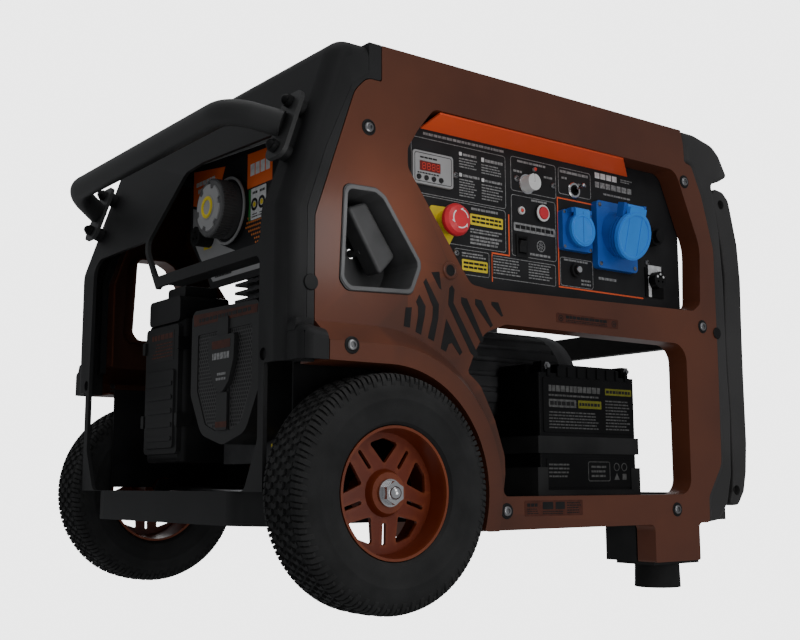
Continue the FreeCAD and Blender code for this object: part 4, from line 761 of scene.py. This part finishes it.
# ---------------------------------------------------------------- air cleaner cover
b = bmesh.new()
prism(b, rect(366, 178, 466, 350, 6), fx_x, -74, -79.5, 0, 1.6)
prism(b, rect(374, 186, 458, 290, 5), fx_x, -79, -82.0, 0, 1.2)
for i in range(5):
    prism(b, rect(378, 196 + 18 * i, 454, 202 + 18 * i, 2), fx_x, -81.5, -83.2, 0, 0.5)
prism(b, rect(368, 352, 466, 388, 7), fx_x, -6, -76.5, 0, 2.5)
prism(b, rect(384, 386, 440, 404, 5), fx_x, -16, -62, 0, 2.0)
for z in (214, 314):
    prism(b, rect(462, z, 471, z + 18, 2), fx_x, -60, -82.5, 0, 0.6)
    prism(b, rect(361, z, 369, z + 18, 2), fx_x, -60, -82.5, 0, 0.6)
done("air_cleaner_cover", b, M["blackpaint"], 30)
b = bmesh.new()
prism(b, rect(380, 302, 452, 342, 2), fx_x, -79.3, -79.75)
done("air_cleaner_label", b, M["inkdark"])
b = bmesh.new()
rows(b, 384, 330, 448, 340, 1, fx_x, -79.6, -79.95, 0.7, random.Random(14), 6, 12, 2)
rows(b, 384, 306, 448, 328, 5, fx_x, -79.6, -79.95, 0.4, random.Random(15), 3, 9)
done("air_cleaner_print", b, M["dull"])

# ---------------------------------------------------------------- engine-end panel and its knob
b = bmesh.new()
prism(b, [(196, 402), (352, 402), (392, 440), (420, 470), (420, 575), (196, 561)], fx_x, -39.6, -40.1)
done("end_panel_face", b, M["face"])
b = bmesh.new()
prism(b, [(200, 512), (262, 512), (262, 558), (200, 555)], fx_x, -40.0, -40.35)
prism(b, [(322, 556), (412, 568), (412, 520), (372, 508), (340, 520)], fx_x, -40.0, -40.35)
done("end_panel_orange", b, M["tagorange"])
b = bmesh.new()
prism(b, [(206, 405), (350, 405), (388, 443), (412, 474), (412, 516), (372, 504), (330, 452), (276, 432), (206, 418)], fx_x, -40.0, -40.3)
prism(b, [(198, 561.5), (418, 575.0), (418, 579.5), (198, 566)], fx_x, -39.0, -41.5)
done("end_panel_silver", b, M["lightgrey"])
b = bmesh.new()
rows(b, 352, 470, 404, 500, 5, fx_x, -40.2, -40.5, 0.45, random.Random(41), 3, 8)
rows(b, 300, 408, 346, 422, 3, fx_x, -40.2, -40.5, 0.45, random.Random(42), 3, 8)
done("end_panel_small_print", b, M["inkdark"])
b = bmesh.new()
rows(b, 350, 532, 404, 552, 2, fx_x, -40.25, -40.6, 0.6, random.Random(43), 5, 10, 1.5)
done("end_panel_white_print", b, M["inklight"])
b = bmesh.new()
prism(b, rect(356, 452, 378, 462, 1), fx_x, -40.2, -40.5)
done("end_panel_tag_yellow", b, M["yellow"])
b = bmesh.new()
rows(b, 206, 524, 256, 546, 1, fx_x, -40.2, -40.55, 0.7, random.Random(16), 8, 13, 2.5, False)
prism(b, rect(214.5, 469.5, 252, 510, 1.5), fx_x, -40.0, -40.35)
done("end_panel_white", b, M["inklight"])
b = bmesh.new()
prism(b, rect(252.5, 469.5, 258, 510, 0.8), fx_x, -40.0, -40.35)
done("end_panel_green", b, M["green"])
b = bmesh.new()
for c in (243, 225):
    band(b, disc(c, 489, 8.2, 28), disc(c, 489, 4.5, 28), fx_x, -40.2, -40.55)
    rows(b, c - 7, 471.5, c + 7, 478, 2, fx_x, -40.2, -40.55, 0.4, random.Random(17), 2, 5)
    rows(b, c - 7, 501, c + 7, 507, 1, fx_x, -40.2, -40.55, 0.5, random.Random(18), 2, 5)
done("end_panel_dials", b, M["inkdark"])
b = bmesh.new()
for c in (243, 225):
    prism(b, disc(c, 489, 3.6, 20), fx_x, -40.2, -40.55)
lathe(b, [(9.5, 0), (14.5, 0), (14.5, -1.0), (13.5, -1.8), (10.5, -1.8), (9.5, -1.0)], (-76.4, 301, 491), axis="x", seg=48)
ky = done("end_panel_dots_yellow", b, M["yellow"], 35)
b = bmesh.new()
for i in range(11):
    for j in range(8):
        yy = 216 + 5.0 * i + (2.5 if j % 2 else 0)
        zz = 434 + 5.6 * j
        if yy < 268 and yy - 216 < 8 + (zz - 428) * 1.25:
            prism(b, disc(yy, zz, 1.5, 6), fx_x, -40.0, -40.35)
done("end_panel_hex_dots", b, M["hexorange"])
b = bmesh.new()
# front plate of the engine knob: light disc with notches
pts = []
for i in range(144):
    a = 2 * math.pi * i / 144
    seg = i % 24
    pts.append((301 + (31 if seg < 17 else 25.5) * math.cos(a), 491 + (31 if seg < 17 else 25.5) * math.sin(a)))
prism(b, pts, fx_x, -73.6, -75.4, 0, 0.8)
lathe(b, [(0.01, 0), (16, 0), (15.4, -1.4), (0.01, -1.4)], (-75.2, 301, 491), axis="x", seg=48)
done("engine_knob_plate", b, M["lightgrey"], 35, "engine_knob")
b = bmesh.new()
for i in range(60):
    a = 2 * math.pi * i / 60
    c, s = math.cos(a), math.sin(a)
    prism(b, [(301 + c * 36.7 - s * 1.0, 491 + s * 36.7 + c * 1.0), (301 + c * 38.2 - s * 0.6, 491 + s * 38.2 + c * 0.6), (301 + c * 38.2 + s * 0.6, 491 + s * 38.2 - c * 0.6), (301 + c * 36.7 + s * 1.0, 491 + s * 36.7 - c * 1.0)], fx_x, -72, -54)
done("engine_knob_grips", b, M["knobgrey"], 35, "engine_knob")
b = bmesh.new()
lathe(b, [(41.0, 0), (44.6, 0), (44.6, -1.6), (43.8, -2.2), (41.8, -2.2), (41.0, -1.6)], (-45.8, 301, 491), axis="x", seg=72)
done("engine_knob_seat_ring", b, M["lightgrey"], 35)

# ---------------------------------------------------------------- battery
b = bmesh.new()
prism(b, rect(292, 205, 461, 276, 3), fx_y, 75.1, 73.9, 0, 0.6)
prism(b, rect(296, 134, 457, 172, 3), fx_y, 75.1, 74.2, 0, 0.6)
for i in range(9):
    prism(b, rect(300 + 18.5 * i, 277.5, 306 + 18.5 * i, 291), fx_y, 75.1, 73.6, 0, 0.4)
done("battery_face_panels", b, M["battery"], 30)
b = bmesh.new()
rows(b, 302, 257, 398, 267, 1, fx_y, 74.0, 73.7, 0.8, random.Random(31), 5, 10, 1.4, False)
rows(b, 302, 251, 398, 255, 1, fx_y, 74.0, 73.7, 0.6, random.Random(32), 3, 8)
prism(b, rect(302, 237.5, 352, 248, 1), fx_y, 74.0, 73.7)
rows(b, 302, 209, 400, 233, 6, fx_y, 74.0, 73.7, 0.42, random.Random(33), 3, 9)
rows(b, 408, 209, 458, 251, 10, fx_y, 74.0, 73.7, 0.42, random.Random(34), 3, 8)
rows(b, 300, 146, 342, 166, 4, fx_y, 74.3, 74.0, 0.42, random.Random(35), 3, 9)
outline(b, 372, 142, 414, 168, 1.0, fx_y, 74.3, 74.0, 3)
rows(b, 378, 146, 410, 164, 3, fx_y, 74.3, 74.0, 0.45, random.Random(36), 4, 9)
band(b, disc(427, 161, 5.5, 24), disc(427, 161, 4.5, 24), fx_y, 74.3, 74.0)
band(b, disc(442, 161, 5.5, 24), disc(442, 161, 4.5, 24), fx_y, 74.3, 74.0)
prism(b, [(422, 144), (432, 144), (427, 153)], fx_y, 74.3, 74.0)
prism(b, rect(438, 144, 446, 152, 1), fx_y, 74.3, 74.0)
done("battery_print_grey", b, M["inkdim"])
b = bmesh.new()
prism(b, rect(408, 257, 460, 266, 1), fx_y, 74.0, 73.7)
prism(b, rect(356, 237.5, 400, 248, 1), fx_y, 74.0, 73.7)
done("battery_print_olive", b, M["olive"])
b = bmesh.new()
rows(b, 304, 239.5, 350, 246, 1, fx_y, 73.8, 73.6, 0.8, random.Random(37), 4, 8, 1.2, False)
rows(b, 410, 259, 458, 264, 1, fx_y, 73.8, 73.6, 0.8, random.Random(38), 3, 7, 1.2, False)
rows(b, 358, 239.5, 398, 246, 1, fx_y, 73.8, 73.6, 0.6, random.Random(39), 3, 7, 1.2, False)
done("battery_print_dark", b, M["inkdark"])
b = bmesh.new()
for x in (301, 452):
    lathe(b, [(2.9, 0), (5.4, 0), (5.4, -3.4), (2.9, -3.4)], (x, 78.0, 291), seg=6)
    lathe(b, [(0.01, -1), (2.8, -1), (2.8, -6.4), (0.01, -6.4)], (x, 78.0, 291), seg=20)
done("battery_terminal_screws", b, M["steel"], 35)


# ---------------------------------------------------------------- stage and camera
sc = bpy.context.scene
world = bpy.data.worlds.new("soft_studio")
sc.world = world
world.use_nodes = True
bg = world.node_tree.nodes["Background"]
bg.inputs["Color"].default_value = (0.95, 0.97, 1.0, 1)
bg.inputs["Strength"].default_value = 0.34


def backdrop(name, bm, strength):
    me = bpy.data.meshes.new(name)
    bm.to_mesh(me)
    bm.free()
    o = bpy.data.objects.new(name, me)
    sc.collection.objects.link(o)
    fm = bpy.data.materials.new("m_" + name)
    nt = nodes_of(fm)
    out = new(nt, "ShaderNodeOutputMaterial")
    em = new(nt, "ShaderNodeEmission")
    em.inputs["Color"].default_value = (1.0, 1.0, 1.0, 1)
    em.inputs["Strength"].default_value = strength
    nt.links.new(em.outputs[0], out.inputs[0])
    me.materials.append(fm)
    o.visible_diffuse = False
    o.visible_glossy = False
    o.visible_transmission = False
    o.visible_shadow = False
    return o


b = bmesh.new()
bmesh.ops.create_uvsphere(b, u_segments=48, v_segments=24, radius=24.0)
backdrop("backdrop", b, BACK)
b = bmesh.new()
bmesh.ops.create_circle(b, cap_ends=True, segments=64, radius=23.0, matrix=Matrix.Translation((0, 0, -0.0006)))
backdrop("floor", b, BACK)


def area(name, loc, target, size, power, color=(1, 1, 1)):
    d = bpy.data.lights.new(name, "AREA")
    d.size = size
    d.energy = power
    d.color = color
    o = bpy.data.objects.new(name, d)
    sc.collection.objects.link(o)
    o.location = loc
    o.rotation_mode = "QUATERNION"
    o.rotation_quaternion = (Vector(target) - Vector(loc)).to_track_quat("-Z", "Y")
    return o


area("key", (-0.2, -2.6, 2.2), (0, 0, 0.35), 1.6, 14)
area("front_fill", W(150, -800, 120), W(300, 72, 500), 0.5, 1.5)
pf = area("pocket_fill", W(0, -60, 430), W(15, 90, 410), 0.10, 0.10)
pf.visible_camera = False
area("back_fill", (1.4, 2.4, 1.5), (0, 0, 0.3), 1.6, 22)
area("top", (-0.3, 0.1, 2.6), (0, 0, 0.4), 1.8, 8)

cd = bpy.data.cameras.new("cam")
cd.sensor_width = 36.0
cd.lens = 50.854
cd.clip_start = 0.01
cam = bpy.data.objects.new("cam", cd)
sc.collection.objects.link(cam)
fw = Vector((0.5977528, 0.78883411, 0.14294174))
rt = Vector((0.79728785, -0.60359115, -0.00313244))
up = Vector((-0.0838074, -0.11583814, 0.98972615))
rot = Matrix((rt, up, -fw)).transposed()
cam.rotation_mode = "QUATERNION"
cam.rotation_quaternion = rot.to_quaternion()
cam.location = W(-733.157, -974.278, 140.315)
sc.camera = cam
